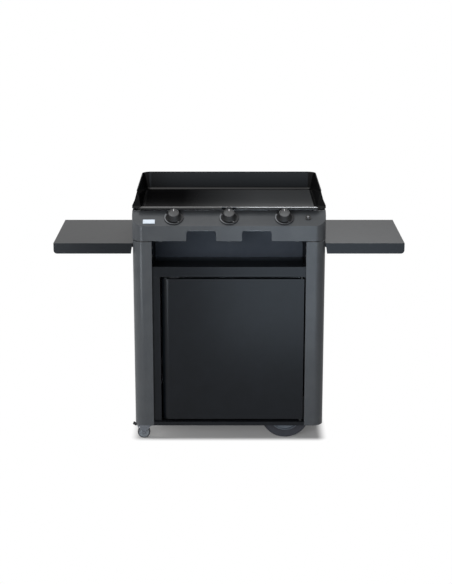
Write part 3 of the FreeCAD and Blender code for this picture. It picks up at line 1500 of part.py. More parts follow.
def shelf_brackets():
    """Brackets on the cabinet's sides, each with a hanging ear bored for the shelf's stud."""
    pivot_x, pivot_z = shelf_pivot()
    low_z, high_z = bracket_heights()
    brackets = []
    for label, side in SIDES.items():
        for end, (face, inward) in shelf_ends().items():
            near_y = face + S.seat_gap * inward
            far_y = near_y + S.ear_thickness * inward
            foot_y = far_y + S.bracket_foot * inward
            ear = (near_y, far_y) if inward > 0 else (far_y, near_y)
            foot = (near_y, foot_y) if inward > 0 else (foot_y, near_y)
            low, high = mirrored_pair((HALF_BODY, ear[0], low_z), (pivot_x, ear[1], high_z), side)
            ear_arm = block(f"ear_arm_{label}_{end}", low, high)
            low, high = mirrored_pair((pivot_x - S.ear_rise, ear[0], pivot_z), (pivot_x, ear[1], high_z), side)
            ear_drop = block(f"ear_drop_{label}_{end}", low, high)
            ear_round = rod(f"ear_round_{label}_{end}", S.ear_rise, (pivot_x * side, ear[0], pivot_z),
                            S.ear_thickness, "y")
            low, high = mirrored_pair((HALF_BODY, foot[0], low_z),
                                      (HALF_BODY + S.bracket_sheet, foot[1], high_z), side)
            foot_plate = block(f"bracket_foot_{label}_{end}", low, high)
            bore = rod(f"ear_bore_{label}_{end}", S.stud_radius + S.running_gap,
                       (pivot_x * side, ear[0] - S.sheet, pivot_z), S.ear_thickness + S.sheet * 2, "y")
            solid = fuse(f"bracket_{label}_{end}", [ear_arm, ear_drop, ear_round, foot_plate])
            brackets.append(cut(f"bracket_bored_{label}_{end}", solid, [bore]))
    keep("shelf_brackets", group("shelf_bracket_group", brackets))


# Wheels and casters

def wheel(end, centre):
    """Large wheel: a rounded tyre on a dished hub, on an axle that runs front to rear."""
    half = S.wheel_width / 2
    rim = S.wheel_radius - S.tyre_wall
    tyre_name = f"wheel_tyre_{end}"
    tyre = turned(tyre_name, [(rim, -half), (S.wheel_radius, -half), (S.wheel_radius, half), (rim, half)])
    round_edges(tyre, tyre_name + "_shoulders", S.wheel_width / 4,
                lambda edge: near(edge.BoundBox.ZLength, 0) and near(edge.BoundBox.XMax, S.wheel_radius))
    hub_name = f"wheel_hub_{end}"
    bore = S.axle_radius + S.running_gap
    boss = half + S.hub_dish / 2
    hub = turned(hub_name, [
        (bore, -boss), (S.hub_boss_radius, -boss), (S.hub_boss_radius + S.hub_dish, -half + S.hub_dish),
        (rim - S.hub_dish, -half + S.hub_dish), (rim, -half),
        (rim, half), (rim - S.hub_dish, half - S.hub_dish),
        (S.hub_boss_radius + S.hub_dish, half - S.hub_dish), (S.hub_boss_radius, boss), (bore, boss),
    ])
    for name, owner in ((tyre_name, tyre), (hub_name, hub)):
        place(owner, WHEEL_X, centre, S.wheel_radius, axis=Vector(1, 0, 0), angle=90)
        keep(name, owner)


def caster_plates():
    """Top plates under the left column, each with its race cup and king pin."""
    plates = []
    half = S.caster_plate / 2
    top = S.body_bottom
    for end, y in CASTER_Y.items():
        x = -CASTER_X
        plate = block(f"caster_plate_{end}", (x - half, y - half, top - S.caster_plate_sheet),
                      (x + half, y + half, top))
        cup = rod(f"caster_cup_{end}", S.caster_race_radius, (x, y, S.fork_top + S.seat_gap),
                  top - S.caster_plate_sheet - S.fork_top - S.seat_gap)
        pin = rod(f"king_pin_{end}", S.caster_pin_radius, (x, y, S.fork_top - S.fork_sheet - S.sheet),
                  top - S.fork_top + S.fork_sheet)
        plates.append(fuse(f"caster_top_{end}", [plate, cup, pin]))
    keep("caster_plates", group("caster_plate_group", plates))


def caster_fork(end, y):
    """Swivel fork with two legs about the wheel, and the riveted axle it carries."""
    name = f"caster_fork_{end}"
    x = -CASTER_X
    axle_x = x - S.caster_trail
    inner = S.caster_width / 2 + S.fork_gap
    shoulder = S.fork_shoulder
    legs = []
    for label, start in (("near", y - inner - S.fork_sheet), ("far", y + inner)):
        leg_name = f"{name}_{label}"
        owner = body(leg_name)
        outline = sketch_on(owner, leg_name + "_outline", "XZ_Plane", -start)
        draw_polygon(outline, [
            (x - S.fork_ear_reach, S.fork_top), (x + shoulder, S.fork_top),
            (x + shoulder - S.fork_cheek_inset, S.fork_top - S.fork_cheek_drop),
            (axle_x + S.fork_eye, S.caster_radius), (axle_x - S.fork_eye, S.caster_radius),
            (axle_x - S.fork_eye, S.fork_neck), (x - S.fork_ear_reach, S.fork_ear_low),
        ])
        pad(owner, outline, S.fork_sheet, backwards=True)
        eye = rod(leg_name + "_eye", S.fork_eye, (axle_x, start, S.caster_radius), S.fork_sheet, "y")
        legs += [owner, eye]
    crown = block(name + "_crown",
                  (x - shoulder, y - inner - S.fork_sheet, S.fork_top - S.fork_sheet),
                  (x + shoulder, y + inner + S.fork_sheet, S.fork_top))
    pin_hole = rod(name + "_pin_hole", S.caster_pin_radius + S.running_gap,
                   (x, y, S.fork_top - S.fork_sheet * 2), S.fork_sheet * 3)
    through = inner + S.fork_sheet * 2
    axle_hole = rod(name + "_axle_hole", S.caster_axle_radius,
                    (axle_x, y - through, S.caster_radius), through * 2, "y")
    pedal_x, pedal_z = pedal_pivot()
    pedal_hole = rod(name + "_pedal_hole", S.pedal_pin_radius + S.running_gap,
                     (pedal_x, y - through, pedal_z), through * 2, "y")
    frame = cut(name + "_frame", fuse(name + "_fused", legs + [crown]), [pin_hole, axle_hole, pedal_hole])
    shaft = rod(name + "_shaft", S.caster_axle_radius, (axle_x, y - inner - S.fork_sheet, S.caster_radius),
                (inner + S.fork_sheet) * 2, "y")
    heads = [rod(f"{name}_rivet_{label}", S.fork_eye - S.sheet, (axle_x, start, S.caster_radius),
                 S.caster_axle_head, "y")
             for label, start in (("near", y - inner - S.fork_sheet - S.caster_axle_head),
                                  ("far", y + inner + S.fork_sheet))]
    keep(name, group(name + "_group", [frame, fuse(name + "_axle", [shaft] + heads)]))


def caster_wheel(end, y):
    """Small wheel: a thin tread on a hub with a raised boss."""
    name = f"caster_wheel_{end}"
    half = S.caster_width / 2
    hub_radius = S.caster_radius - S.caster_tread
    bore = S.caster_axle_radius + S.running_gap
    dish = S.caster_tread / 2
    tread = turned(name + "_tread", [(hub_radius, -half), (S.caster_radius, -half),
                                     (S.caster_radius, half), (hub_radius, half)])
    round_edges(tread, name + "_shoulders", dish,
                lambda edge: near(edge.BoundBox.ZLength, 0) and near(edge.BoundBox.XMax, S.caster_radius))
    hub = turned(name + "_hub", [(bore, -half), (hub_radius / 2, -half), (hub_radius * 0.6, -half + dish),
                                 (hub_radius, -half + dish), (hub_radius, half - dish),
                                 (hub_radius * 0.6, half - dish), (hub_radius / 2, half), (bore, half)])
    parts = []
    for owner in (tread, hub):
        parts.append(place(owner, -CASTER_X - S.caster_trail, y, S.caster_radius,
                           axis=Vector(1, 0, 0), angle=90))
    keep(name, group(name + "_group", parts))


def pedal_pivot():
    """Place of the brake pedal's pin, seen from the front."""
    return -CASTER_X - S.pedal_offset, S.pedal_height


def caster_brake(end, y):
    """Brake pedal: a bent lever on a pin through the fork, with a cam over the wheel and a thick tip."""
    name = f"caster_brake_{end}"
    pedal_x, pedal_z = pedal_pivot()
    half = S.pedal_sheet / 2
    bend = (pedal_x - S.pedal_bend_out, pedal_z + S.pedal_bend_up)
    tip = (pedal_x - S.pedal_length, pedal_z + S.pedal_rise)
    owner = body(name + "_lever")
    outline = sketch_on(owner, name + "_outline", "XZ_Plane", -(y - S.pedal_width / 2))
    draw_polygon(outline, [
        (pedal_x, pedal_z + half),
        (pedal_x, pedal_z - S.pedal_cam),
        (pedal_x - S.pedal_cam_width, pedal_z - S.pedal_cam + half / 2),
        (pedal_x - S.pedal_step, pedal_z - half),
        (bend[0] - half, bend[1] - half),
        (tip[0] - half / 2, tip[1] - half),
        (tip[0] + half / 2, tip[1] + half),
        (bend[0] + half / 2, bend[1] + half),
        (pedal_x - S.pedal_step, pedal_z + half),
    ])
    pad(owner, outline, S.pedal_width, backwards=True)
    angle = slope_angle(tip[1] - bend[1], bend[0] - tip[0])
    cap = doc.addObject("Part::Box", name + "_cap")
    bind(cap, "Length", S.pedal_tip_length)
    bind(cap, "Width", S.pedal_width)
    bind(cap, "Height", S.pedal_tip_sheet)
    drop = S.pedal_tip_sheet / 2
    place(cap, tip[0] - drop * sine(angle), y - S.pedal_width / 2, tip[1] - drop * cosine(angle),
          axis=Vector(0, 1, 0), angle=angle)
    inner = S.caster_width / 2 + S.fork_gap + S.fork_sheet
    pin = rod(name + "_pin", S.pedal_pin_radius, (pedal_x, y - inner, pedal_z), inner * 2, "y")
    keep(name, fuse(name + "_fused", [owner, cap, pin]))


# Assembly

def build():
    side_panels()
    for label, side in SIDES.items():
        inner_wall(f"inner_wall_{label}", side)
        shelf(f"shelf_{label}", side)
        shelf_hinge(f"shelf_hinge_{label}", side)
    base_pan()
    wheel_arches()
    wheel_axles()
    niche_tray()
    cabinet_backs()
    door_stile()
    door()
    body_bolts()
    shelf_brackets()
    control_head()
    head_carriers()
    gas_manifold()
    gas_valves()
    gas_inlet_pipe()
    burners()
    burner_brackets()
    electrodes()
    for label, x in KNOB_X.items():
        knob(label, x)
        valve_stem(label, x)
        valve_plug(label, x)
    bezels()
    ignition()
    badge()
    griddle_pan()
    grease_chute()
    grease_tray()
    caster_plates()
    for end, y in CASTER_Y.items():
        caster_fork(end, y)
        caster_wheel(end, y)
        caster_brake(end, y)
    for end, y in WHEEL_Y.items():
        wheel(end, y)


def check_and_export():
    """Stop if anything failed, then write each piece to its own file."""
    doc.recompute()
    failed = [item.Name for item in doc.Objects if "Invalid" in item.State or "Error" in item.State]
    if failed:
        raise RuntimeError(f"objects that failed: {failed}")
    for name, item in nodes.items():
        if item.Shape.isNull() or not item.Shape.isValid() or not item.Shape.Solids:
            raise RuntimeError(f"{name} has no valid solid")
    os.makedirs("parts", exist_ok=True)
    for name, item in nodes.items():
        item.Shape.exportStep(f"parts/{name}.step")
    print(f"{len(nodes)} nodes, {sum(len(item.Shape.Solids) for item in nodes.values())} solids")


build()
check_and_export()
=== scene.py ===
import logging
import math
from dataclasses import dataclass
from enum import Enum
from functools import partial, partialmethod
from typing import Callable, Sequence

import bmesh
import bpy
from mathutils import Matrix, Vector


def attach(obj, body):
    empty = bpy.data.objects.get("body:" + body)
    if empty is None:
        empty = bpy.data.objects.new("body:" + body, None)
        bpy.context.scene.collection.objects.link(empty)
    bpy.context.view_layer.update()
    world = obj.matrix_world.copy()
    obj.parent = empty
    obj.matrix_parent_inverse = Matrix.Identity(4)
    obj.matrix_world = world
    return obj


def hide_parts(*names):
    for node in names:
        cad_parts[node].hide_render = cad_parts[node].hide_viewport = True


# Outdoor gas griddle station: the finishes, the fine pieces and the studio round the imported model.
# Frame: +X to the user's right, -Y towards the user, +Z up, in metres. Sizes below are millimetres
# unless a name or a docstring says otherwise.

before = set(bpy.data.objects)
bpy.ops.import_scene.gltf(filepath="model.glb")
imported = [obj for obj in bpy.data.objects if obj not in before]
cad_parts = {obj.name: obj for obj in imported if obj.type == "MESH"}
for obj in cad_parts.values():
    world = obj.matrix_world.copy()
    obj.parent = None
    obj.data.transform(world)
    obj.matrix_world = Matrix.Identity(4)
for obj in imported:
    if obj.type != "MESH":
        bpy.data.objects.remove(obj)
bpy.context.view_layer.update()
log = logging.getLogger("griddle_station")

Socket = bpy.types.NodeSocket
Span = tuple[float, float]
Triple = tuple[float, float, float]
Outline = Sequence[Span]
MM = 0.001
SIDES = ("left", "right")
PLACES = ("left", "centre", "right")
ENDS = ("front", "rear")


def tone(*chip: float) -> Triple:
    """Turns a paint chip's red, green and blue tones, from 0 to 255, into linear light."""
    parts = (value / 255.0 for value in chip)
    return tuple(part / 12.92 if part <= 0.04045 else ((part + 0.055) / 1.055) ** 2.4 for part in parts)


# Node trees


class Graph:
    """A node tree, with short ways to add nodes and to join them."""

    def __init__(self, tree: bpy.types.NodeTree) -> None:
        """Keeps the tree and empties it."""
        self.tree = tree
        tree.nodes.clear()

    def add(self, kind: str, inputs: dict | None = None, **settings: object) -> bpy.types.Node:
        """Adds a node.

        Args:
            kind: Node type without its leading "ShaderNode".
            inputs: Values or output sockets for the node's inputs, by name or number.
            settings: Properties of the node itself.

        Returns:
            The new node.
        """
        node = self.tree.nodes.new(kind if kind.startswith("Node") else "ShaderNode" + kind)
        for name, value in settings.items():
            setattr(node, name, value)
        for key, value in (inputs or {}).items():
            if isinstance(value, Socket):
                self.tree.links.new(value, node.inputs[key])
            else:
                node.inputs[key].default_value = value
        return node

    def maths(self, operation: str, first: object, second: object) -> Socket:
        """Joins two values or sockets with a Math node and gives its result."""
        return self.add("Math", {0: first, 1: second}, operation=operation).outputs[0]

    plus = partialmethod(maths, "ADD")
    less = partialmethod(maths, "SUBTRACT")
    times = partialmethod(maths, "MULTIPLY")
    most = partialmethod(maths, "MAXIMUM")

    def per_metre(self, length: Socket) -> Socket:
        """Turns a length in millimetres into repeats in a metre."""
        return self.maths("DIVIDE", 1.0 / MM, length)

    def share(self, value: Socket, start: float, end: float, low: float = 0.0, high: float = 1.0) -> Socket:
        """Gives low up to the start of a span, high from its end, and goes evenly between them."""
        return self.add("MapRange", {0: value, 1: start, 2: end, 3: low, 4: high}).outputs[0]

    def blend(self, factor: object, *colours: object) -> Socket:
        """Mixes two colours by the share of the second."""
        first, second = ((*colour, 1.0) if isinstance(colour, tuple) else colour for colour in colours)
        return self.add("Mix", {0: factor, 6: first, 7: second}, data_type="RGBA").outputs[2]

    def object_point(self) -> Socket:
        """Gives the point in the object's own coordinates."""
        return self.add("TexCoord").outputs["Object"]

    def split(self, vector: Socket) -> tuple[Socket, ...]:
        """Gives a vector's X, Y and Z."""
        return tuple(self.add("SeparateXYZ", {0: vector}).outputs)

    def noise(self, scale: object, detail: float = 2.0, roughness: float = 0.5, distortion: float = 0.0,
              point: Socket | None = None) -> Socket:
        """Gives a cloudy value from 0 to 1, at a scale in repeats in a metre."""
        return self.add("TexNoise", {
            "Vector": point or self.object_point(), "Scale": scale, "Detail": detail,
            "Roughness": roughness, "Distortion": distortion}).outputs[0]

    def round_edges(self, radius: Socket, samples: int) -> Socket:
        """Gives the normal of a surface whose edges look rounded by a radius in millimetres."""
        return self.add("Bevel", {"Radius": self.times(radius, MM)}, samples=samples).outputs[0]

    def raised(self, height: Socket, distance: Socket, normal: Socket) -> Socket:
        """Gives a surface's normal where a pattern from 0 to 1 raises it by a distance in metres."""
        return self.add("Bump", {
            "Strength": 1.0, "Distance": distance, "Height": height, "Normal": normal}).outputs[0]


class Effect(Enum):
    """Surface effects that several finishes share."""

    RELIEF = "fine_relief"
    MOTTLE = "mottling"
    WEAR = "edge_wear"
    DUST = "settled_dust"
    STROKES = "brushed_strokes"


def new_effect(effect: Effect, inputs: dict[str, float], outputs: dict[str, str]
               ) -> tuple[Graph, dict[str, Socket]]:
    """Starts a node group with named sockets.

    Args:
        effect: The effect that the group makes.
        inputs: Default of each input, by name.
        outputs: Kind of each output, "Float" or "Vector", by name.

    Returns:
        The group's graph and what it is given, by name.
    """
    tree = bpy.data.node_groups.new(effect.value, "ShaderNodeTree")
    for name, value in inputs.items():
        tree.interface.new_socket(name, in_out="INPUT", socket_type="NodeSocketFloat").default_value = value
    for name, kind in outputs.items():
        tree.interface.new_socket(name, in_out="OUTPUT", socket_type="NodeSocket" + kind)
    graph = Graph(tree)
    given = graph.add("NodeGroupInput").outputs
    return graph, {name: given[name] for name in inputs}


def make_relief() -> None:
    """Softened edges with fine grain over long shallow waves; puts out a normal and the grain."""
    graph, given = new_effect(
        Effect.RELIEF,
        {"Edge": 0.8, "Grain": 0.8, "Grain Height": 0.01, "Wave": 90.0, "Wave Height": 0.0},
        {"Normal": "Vector", "Grain": "Float"})
    edges = graph.round_edges(given["Edge"], samples=8)
    waves = graph.noise(graph.per_metre(given["Wave"]), detail=1.0)
    swept = graph.raised(waves, graph.times(given["Wave Height"], MM), edges)
    grain = graph.noise(graph.per_metre(given["Grain"]), detail=3.0, roughness=0.6)
    normal = graph.raised(grain, graph.times(given["Grain Height"], MM), swept)
    graph.add("NodeGroupOutput", {"Normal": normal, "Grain": grain})


def make_mottle() -> None:
    """Large soft patches with small ones inside them; puts out a value from 0 to 1."""
    graph, given = new_effect(Effect.MOTTLE, {"Size": 80.0}, {"Value": "Float"})
    cloud = graph.noise(graph.per_metre(given["Size"]), detail=4.0, roughness=0.55, distortion=0.3)
    graph.add("NodeGroupOutput", {"Value": graph.share(cloud, 0.3, 0.7)})


def make_wear() -> None:
    """Rubbed places along outer edges; puts out a mask."""
    graph, given = new_effect(Effect.WEAR, {"Width": 1.5, "Amount": 0.3}, {"Mask": "Float"})
    rounded = graph.round_edges(given["Width"], samples=6)
    plain = graph.add("NewGeometry").outputs["True Normal"]
    alike = graph.add("VectorMath", {0: rounded, 1: plain}, operation="DOT_PRODUCT").outputs["Value"]
    turned = graph.share(graph.less(1.0, alike), 0.01, 0.12)
    broken = graph.share(graph.noise(scale=55.0, detail=5.0), 0.42, 0.62)
    graph.add("NodeGroupOutput", {"Mask": graph.times(graph.times(turned, broken), given["Amount"])})


def make_dust() -> None:
    """Dust on faces that look up; puts out a mask."""
    graph, given = new_effect(Effect.DUST, {"Amount": 0.1}, {"Mask": "Float"})
    facing = graph.split(graph.add("TexCoord").outputs["Normal"])
    upward = graph.share(facing[2], 0.35, 0.95)
    specks = graph.noise(scale=34.0, detail=8.0, roughness=0.7)
    cover = graph.times(upward, graph.share(specks, 0.35, 0.75, low=0.1))
    graph.add("NodeGroupOutput", {"Mask": graph.times(cover, given["Amount"])})


def make_strokes() -> None:
    """Fine lines along X; puts out a value from 0 to 1."""
    graph, given = new_effect(Effect.STROKES, {"Spacing": 0.4}, {"Value": "Float"})
    drawn = graph.add("Mapping", {"Vector": graph.object_point(), "Scale": (0.02, 1.0, 1.0)}).outputs[0]
    lines = graph.noise(graph.per_metre(given["Spacing"]), point=drawn)
    graph.add("NodeGroupOutput", {"Value": lines})


def new_material(name: str) -> tuple[bpy.types.Material, Graph]:
    """Starts a material.

    Args:
        name: The material's name.

    Returns:
        The material and its empty graph.
    """
    material = bpy.data.materials.new(name)
    material.use_nodes = True
    return material, Graph(material.node_tree)


# Finishes

DUST_COLOUR = tone(150, 146, 138)
DUST_DULLING = 0.6
GRAIN_DRIFT = 0.3
WEAR_REACH = 1.5


@dataclass(frozen=True)
class Finish:
    """A surface's colour, shine and fine relief.

    Attributes:
        name: The material's name.
        colour: Main colour, in tones from 0 to 255.
        drift: Colour that its patches tend to, in tones too.
        roughness: Roughness of the smooth patches.
        dulling: How much rougher the dull patches are.
        specular: Specular level, 0.5 for plain plastic.
        metallic: 1 for bare metal.
        coat: Weight of a clear coat.
        coat_roughness: Roughness of that coat.
        coat_ior: Refractive index of that coat.
        patch: Size of the patches.
        grain: Size and height of the grain.
        wave: Length and height of the shallow waves in the sheet.
        edge: Radius of softened edges.
        worn: Colour that shows where an edge is worn, as linear light.
        wear: How much edges are worn.
        dust: How much dust lies on it.
    """

    name: str
    colour: Triple
    drift: Triple
    roughness: float = 0.45
    dulling: float = 0.06
    specular: float = 0.5
    metallic: float = 0.0
    coat: float = 0.0
    coat_roughness: float = 0.15
    coat_ior: float = 1.5
    patch: float = 70.0
    grain: Span = (0.7, 0.012)
    wave: Span = (160.0, 0.03)
    edge: float = 0.9
    worn: Triple = (0.30, 0.30, 0.31)
    wear: float = 0.25
    dust: float = 0.03

    def pattern(self, graph: Graph) -> Socket:
        """Gives the value, from 0 to 1, that moves the colour and the roughness."""
        return self.effect(graph, Effect.MOTTLE, {"Size": self.patch})["Value"]

    def gloss(self, graph: Graph) -> object:
        """Gives the coat's weight."""
        return self.coat

    def surface(self, graph: Graph, relief: Socket) -> Socket:
        """Gives the normal that the shader takes."""
        return relief

    def tint(self, graph: Graph, colour: Socket) -> Socket:
        """Gives the colour that the shader takes."""
        return colour

    @staticmethod
    def effect(graph: Graph, effect: Effect, values: dict[str, float]) -> Sequence[Socket]:
        """Places a shared effect in the material and gives its outputs by name."""
        return graph.add("Group", values, node_tree=bpy.data.node_groups[effect.value]).outputs

    def build(self) -> bpy.types.Material:
        """Makes the material, or gives the one that is there.

        Returns:
            The material.
        """
        if self.name in bpy.data.materials:
            return bpy.data.materials[self.name]
        material, graph = new_material(self.name)
        pattern = self.pattern(graph)
        relief = self.effect(graph, Effect.RELIEF, {
            "Edge": self.edge, "Grain": self.grain[0], "Grain Height": self.grain[1],
            "Wave": self.wave[0], "Wave Height": self.wave[1]})
        wear = self.effect(graph, Effect.WEAR, {"Width": self.edge * WEAR_REACH, "Amount": self.wear})["Mask"]
        dust = self.effect(graph, Effect.DUST, {"Amount": self.dust})["Mask"]
        drift = tone(*self.drift)
        colour = graph.blend(pattern, tone(*self.colour), drift)
        grain = graph.share(relief["Grain"], 0.4, 0.7, high=GRAIN_DRIFT)
        colour = graph.blend(grain, colour, drift)
        colour = graph.blend(wear, colour, self.worn)
        colour = graph.blend(dust, colour, DUST_COLOUR)
        roughness = graph.share(pattern, 0.0, 1.0, self.roughness, self.roughness + self.dulling)
        roughness = graph.plus(roughness, graph.times(dust, DUST_DULLING))
        shader = graph.add("BsdfPrincipled", {
            "Base Color": self.tint(graph, colour), "Roughness": roughness, "Metallic": self.metallic,
            "Specular IOR Level": self.specular, "Coat Weight": self.gloss(graph),
            "Coat Roughness": self.coat_roughness, "Coat IOR": self.coat_ior,
            "Normal": self.surface(graph, relief["Normal"])})
        graph.add("OutputMaterial", {"Surface": shader.outputs[0]})
        return material


@dataclass(frozen=True)
class SeasonedEnamel(Finish):
    """Enamel that is dull where food cooks and still glossy on the walls and most of all on the lip, with a
    painted sheen on the floor.

    Spans run from where a change begins to where it is complete, in metres.

    Attributes:
        floor_end: Heights over which the cooking floor's gloss gives way to the wall's.
        wall_top: Height where the wall's gloss is full, in metres.
        fold: Heights where the gloss of the fold at the walls' foot begins, is full and has faded.
        lip: Places along Y over which the lip's gloss begins.
        roll: Heights on the lip's rolled front from its least gloss to the full.
        gloss_and_painted_sheen_span: Places along X from the cooking floor's least glossy part to its
            glossiest, over which its colour also takes the painted sheen.
        painted_sheen_and_gloss: Colour of the painted sheen at the glossiest part, as linear light.
        floor_coat: Weight of the coat on the least glossy and on the glossiest part.
        wall_coat: Weight at the foot of the walls and at their top.
        fold_coat: What the fold adds.
        roll_coat: Weight on the lip's front.
        stroke_height: Height of the grinding lines on the floor.
        stroke_spacing: Their spacing.
    """

    floor_end: Span = (0.9553, 0.9565)
    wall_top: float = 1.027
    fold: Triple = (0.9550, 0.9600, 0.9670)
    lip: Span = (-0.188, -0.194)
    roll: Span = (0.9635, 0.9665)
    # Painted sheen: over this span along X the cooking floor's colour turns to the lighter grey below, and its
    # coat grows glossier.
    gloss_and_painted_sheen_span: Span = (-0.19, 0.12)
    painted_sheen_and_gloss: Triple = (0.052, 0.055, 0.058)
    floor_coat: Span = (0.08, 0.26)
    wall_coat: Span = (0.06, 0.25)
    fold_coat: float = 0.50
    roll_coat: float = 0.26
    stroke_height: float = 0.14
    stroke_spacing: float = 0.7

    def flat(self, graph: Graph, height: Socket) -> Socket:
        """Gives 1 on the cooking floor and 0 on the walls."""
        return graph.share(height, *self.floor_end, low=1.0, high=0.0)

    def gloss(self, graph: Graph) -> object:
        """Gives the coat's weight from the place on the pan.

        Args:
            graph: The material's graph.

        Returns:
            The weight.
        """
        across, along, height = graph.split(graph.object_point())
        painted_sheen_and_gloss = graph.share(across, *self.gloss_and_painted_sheen_span, *self.floor_coat)
        floor = graph.times(self.flat(graph, height), graph.less(painted_sheen_and_gloss, self.wall_coat[0]))
        wall = graph.share(height, self.floor_end[1], self.wall_top, *self.wall_coat)
        rising = graph.share(height, *self.fold[:2], high=self.fold_coat)
        fold = graph.times(rising, graph.share(height, *self.fold[1:], low=1.0, high=0.0))
        inside = graph.plus(graph.plus(wall, fold), floor)
        lip = graph.share(along, *self.lip)
        roll = graph.share(height, *self.roll, self.roll_coat, self.coat)
        return graph.plus(inside, graph.times(lip, graph.less(roll, inside)))

    def tint(self, graph: Graph, colour: Socket) -> Socket:
        """Paints a sheen onto the cooking floor: greys its colour towards its glossiest part.

        Args:
            graph: The material's graph.
            colour: The colour so far.

        Returns:
            The colour with the painted sheen.
        """
        across, along, height = graph.split(graph.object_point())
        # Painted sheen: the floor's colour turns lighter towards +X, behind the lip.
        painted_sheen_share = graph.times(graph.share(across, *self.gloss_and_painted_sheen_span), self.flat(graph, height))
        behind_lip = graph.share(along, *reversed(self.lip))
        return graph.blend(graph.times(painted_sheen_share, behind_lip), colour, self.painted_sheen_and_gloss)

    def surface(self, graph: Graph, relief: Socket) -> Socket:
        """Cuts fine grinding lines into the cooking floor.

        Args:
            graph: The material's graph.
            relief: The normal so far.

        Returns:
            The normal with the lines.
        """
        lines = self.effect(graph, Effect.STROKES, {"Spacing": self.stroke_spacing})["Value"]
        height = graph.split(graph.object_point())[2]
        depth = graph.share(height, *self.floor_end, self.stroke_height * MM, 0.0)
        return graph.raised(lines, depth, relief)


@dataclass(frozen=True)
class WipedPaint(Finish):
    """Paint that is shinier at the rear of the niche's floor, where it is seldom touched.

    Attributes:
        touched: Where the plain gloss ends and where the rear's is full, along Y in metres.
        rear_coat: Weight of the coat at the rear.
    """

    touched: Span = (0.0, 0.070)
    rear_coat: float = 1.0

    def gloss(self, graph: Graph) -> object:
        """Gives the coat's weight from the distance to the niche's back."""
        along = graph.split(graph.object_point())[1]
        return graph.share(along, *self.touched, self.coat, self.rear_coat)


@dataclass(frozen=True)
class Galvanised(Finish):
    """Zinc-coated sheet with its crystal flowers."""

    flower: float = 9.0

    def pattern(self, graph: Graph) -> Socket:
        """Gives each crystal its own value."""
        cells = graph.add("TexVoronoi", {"Vector": graph.object_point(), "Scale": 1.0 / (self.flower * MM)})
        return graph.add("SeparateColor", {0: cells.outputs["Color"]}).outputs[0]


@dataclass(frozen=True)
class Brushed(Finish):
    """Metal with fine lines along X."""

    spacing: float = 0.35

    def pattern(self, graph: Graph) -> Socket:
        """Gives the value of the brushed lines."""
        return self.effect(graph, Effect.STROKES, {"Spacing": self.spacing})["Value"]


# Kinds of finish: each gives its members the values that they share.
painted = partial(Finish, roughness=0.5, specular=0.0, coat_roughness=0.28, grain=(0.6, 0.006), wear=0.12)
plated = partial(Galvanised, dulling=0.12, metallic=1.0, grain=(0.4, 0.005), edge=0.5, wear=0.0, flower=3.0)
brushed = partial(Brushed, metallic=1.0, edge=0.5, wear=0.0, dust=0.05)
moulded = partial(Finish, patch=20.0, grain=(0.4, 0.012), edge=0.5, wear=0.0, dust=0.02)
printed = partial(Finish, roughness=0.5, grain=(0.3, 0.004), wear=0.0, dust=0.0)

SHELL_PAINT = painted("shell_paint", (77, 80, 83), (70, 73, 77), roughness=0.45, specular=0.1, coat=0.20,
                      coat_roughness=0.2, grain=(0.55, 0.012))
SHELF_PAINT = painted("shelf_paint", (10, 13, 18), (7, 10, 15), coat=0.72, coat_roughness=0.34, coat_ior=1.3,
                      grain=(0.6, 0.012), wear=0.15)
CABINET_PAINT = painted("cabinet_paint", (18, 21, 26), (14, 17, 21), coat=0.28)
TRAY_PAINT = WipedPaint("tray_paint", (18, 21, 26), (14, 17, 21), coat=0.26, **painted.keywords)
NICHE_PAINT = painted("niche_paint", (24, 25, 27), (20, 21, 23), coat=0.40, coat_roughness=0.26, wear=0.1)
# Painted light: the niche's back panel takes a light blue-grey, far lighter than the niche's walls, standing
# in for the light and reflections that brighten it.
NICHE_BACK_PAINTED_LIGHT = painted("niche_back", (86, 93, 104), (79, 86, 97), coat=0.20, coat_roughness=0.3, wear=0.1)
PAN_ENAMEL = SeasonedEnamel(
    "pan_enamel", (13, 13, 14), (10, 10, 11), dulling=0.10, specular=0.0, coat=1.0, coat_roughness=0.16,
    patch=110.0, grain=(1.3, 0.006), wave=(60.0, 0.02), edge=1.4, worn=tone(110, 112, 116), wear=0.10,
    dust=0.0)
GALVANISED = plated("galvanised_sheet", (152, 156, 160), (120, 124, 130), roughness=0.34, dulling=0.16,
                    grain=(0.5, 0.006), edge=0.9, dust=0.08, flower=9.0)
ZINC = plated("zinc_plate", (188, 190, 192), (162, 165, 168), roughness=0.28, dust=0.05)
FORK_STEEL = plated("fork_steel", (104, 107, 112), (86, 89, 94), roughness=0.34, dust=0.04)
STEEL = brushed("bright_steel", (176, 176, 174), (150, 150, 150), roughness=0.26, dulling=0.14,
                grain=(0.7, 0.004))
HEATED_STEEL = brushed("heated_steel", (150, 142, 132), (108, 100, 96), roughness=0.32, dulling=0.16,
                       grain=(0.7, 0.005))
BADGE_SILVER = brushed("badge_silver", (184, 192, 200), (166, 174, 184), roughness=0.38, dulling=0.1,
                       metallic=0.85, grain=(0.7, 0.003), edge=0.4, dust=0.0, spacing=0.25)
BRASS = Finish("tap_brass", (184, 154, 92), (152, 122, 70), roughness=0.30, dulling=0.16, metallic=1.0,
               patch=14.0, grain=(0.7, 0.006), edge=0.5, wear=0.0)
DARK_BOLT = Finish("dark_bolt", (34, 35, 38), (24, 25, 27), roughness=0.34, dulling=0.12, metallic=0.6,
                   patch=6.0, grain=(0.3, 0.004), edge=0.3, wear=0.0)
KNOB_PLASTIC = moulded("knob_plastic", (24, 24, 25), (18, 18, 19), roughness=0.42, specular=0.3,
                       grain=(0.35, 0.012), edge=0.6)
KNOB_FACE = moulded("knob_face", (46, 46, 46), (40, 40, 41), roughness=0.5, specular=0.4, grain=(0.4, 0.01))
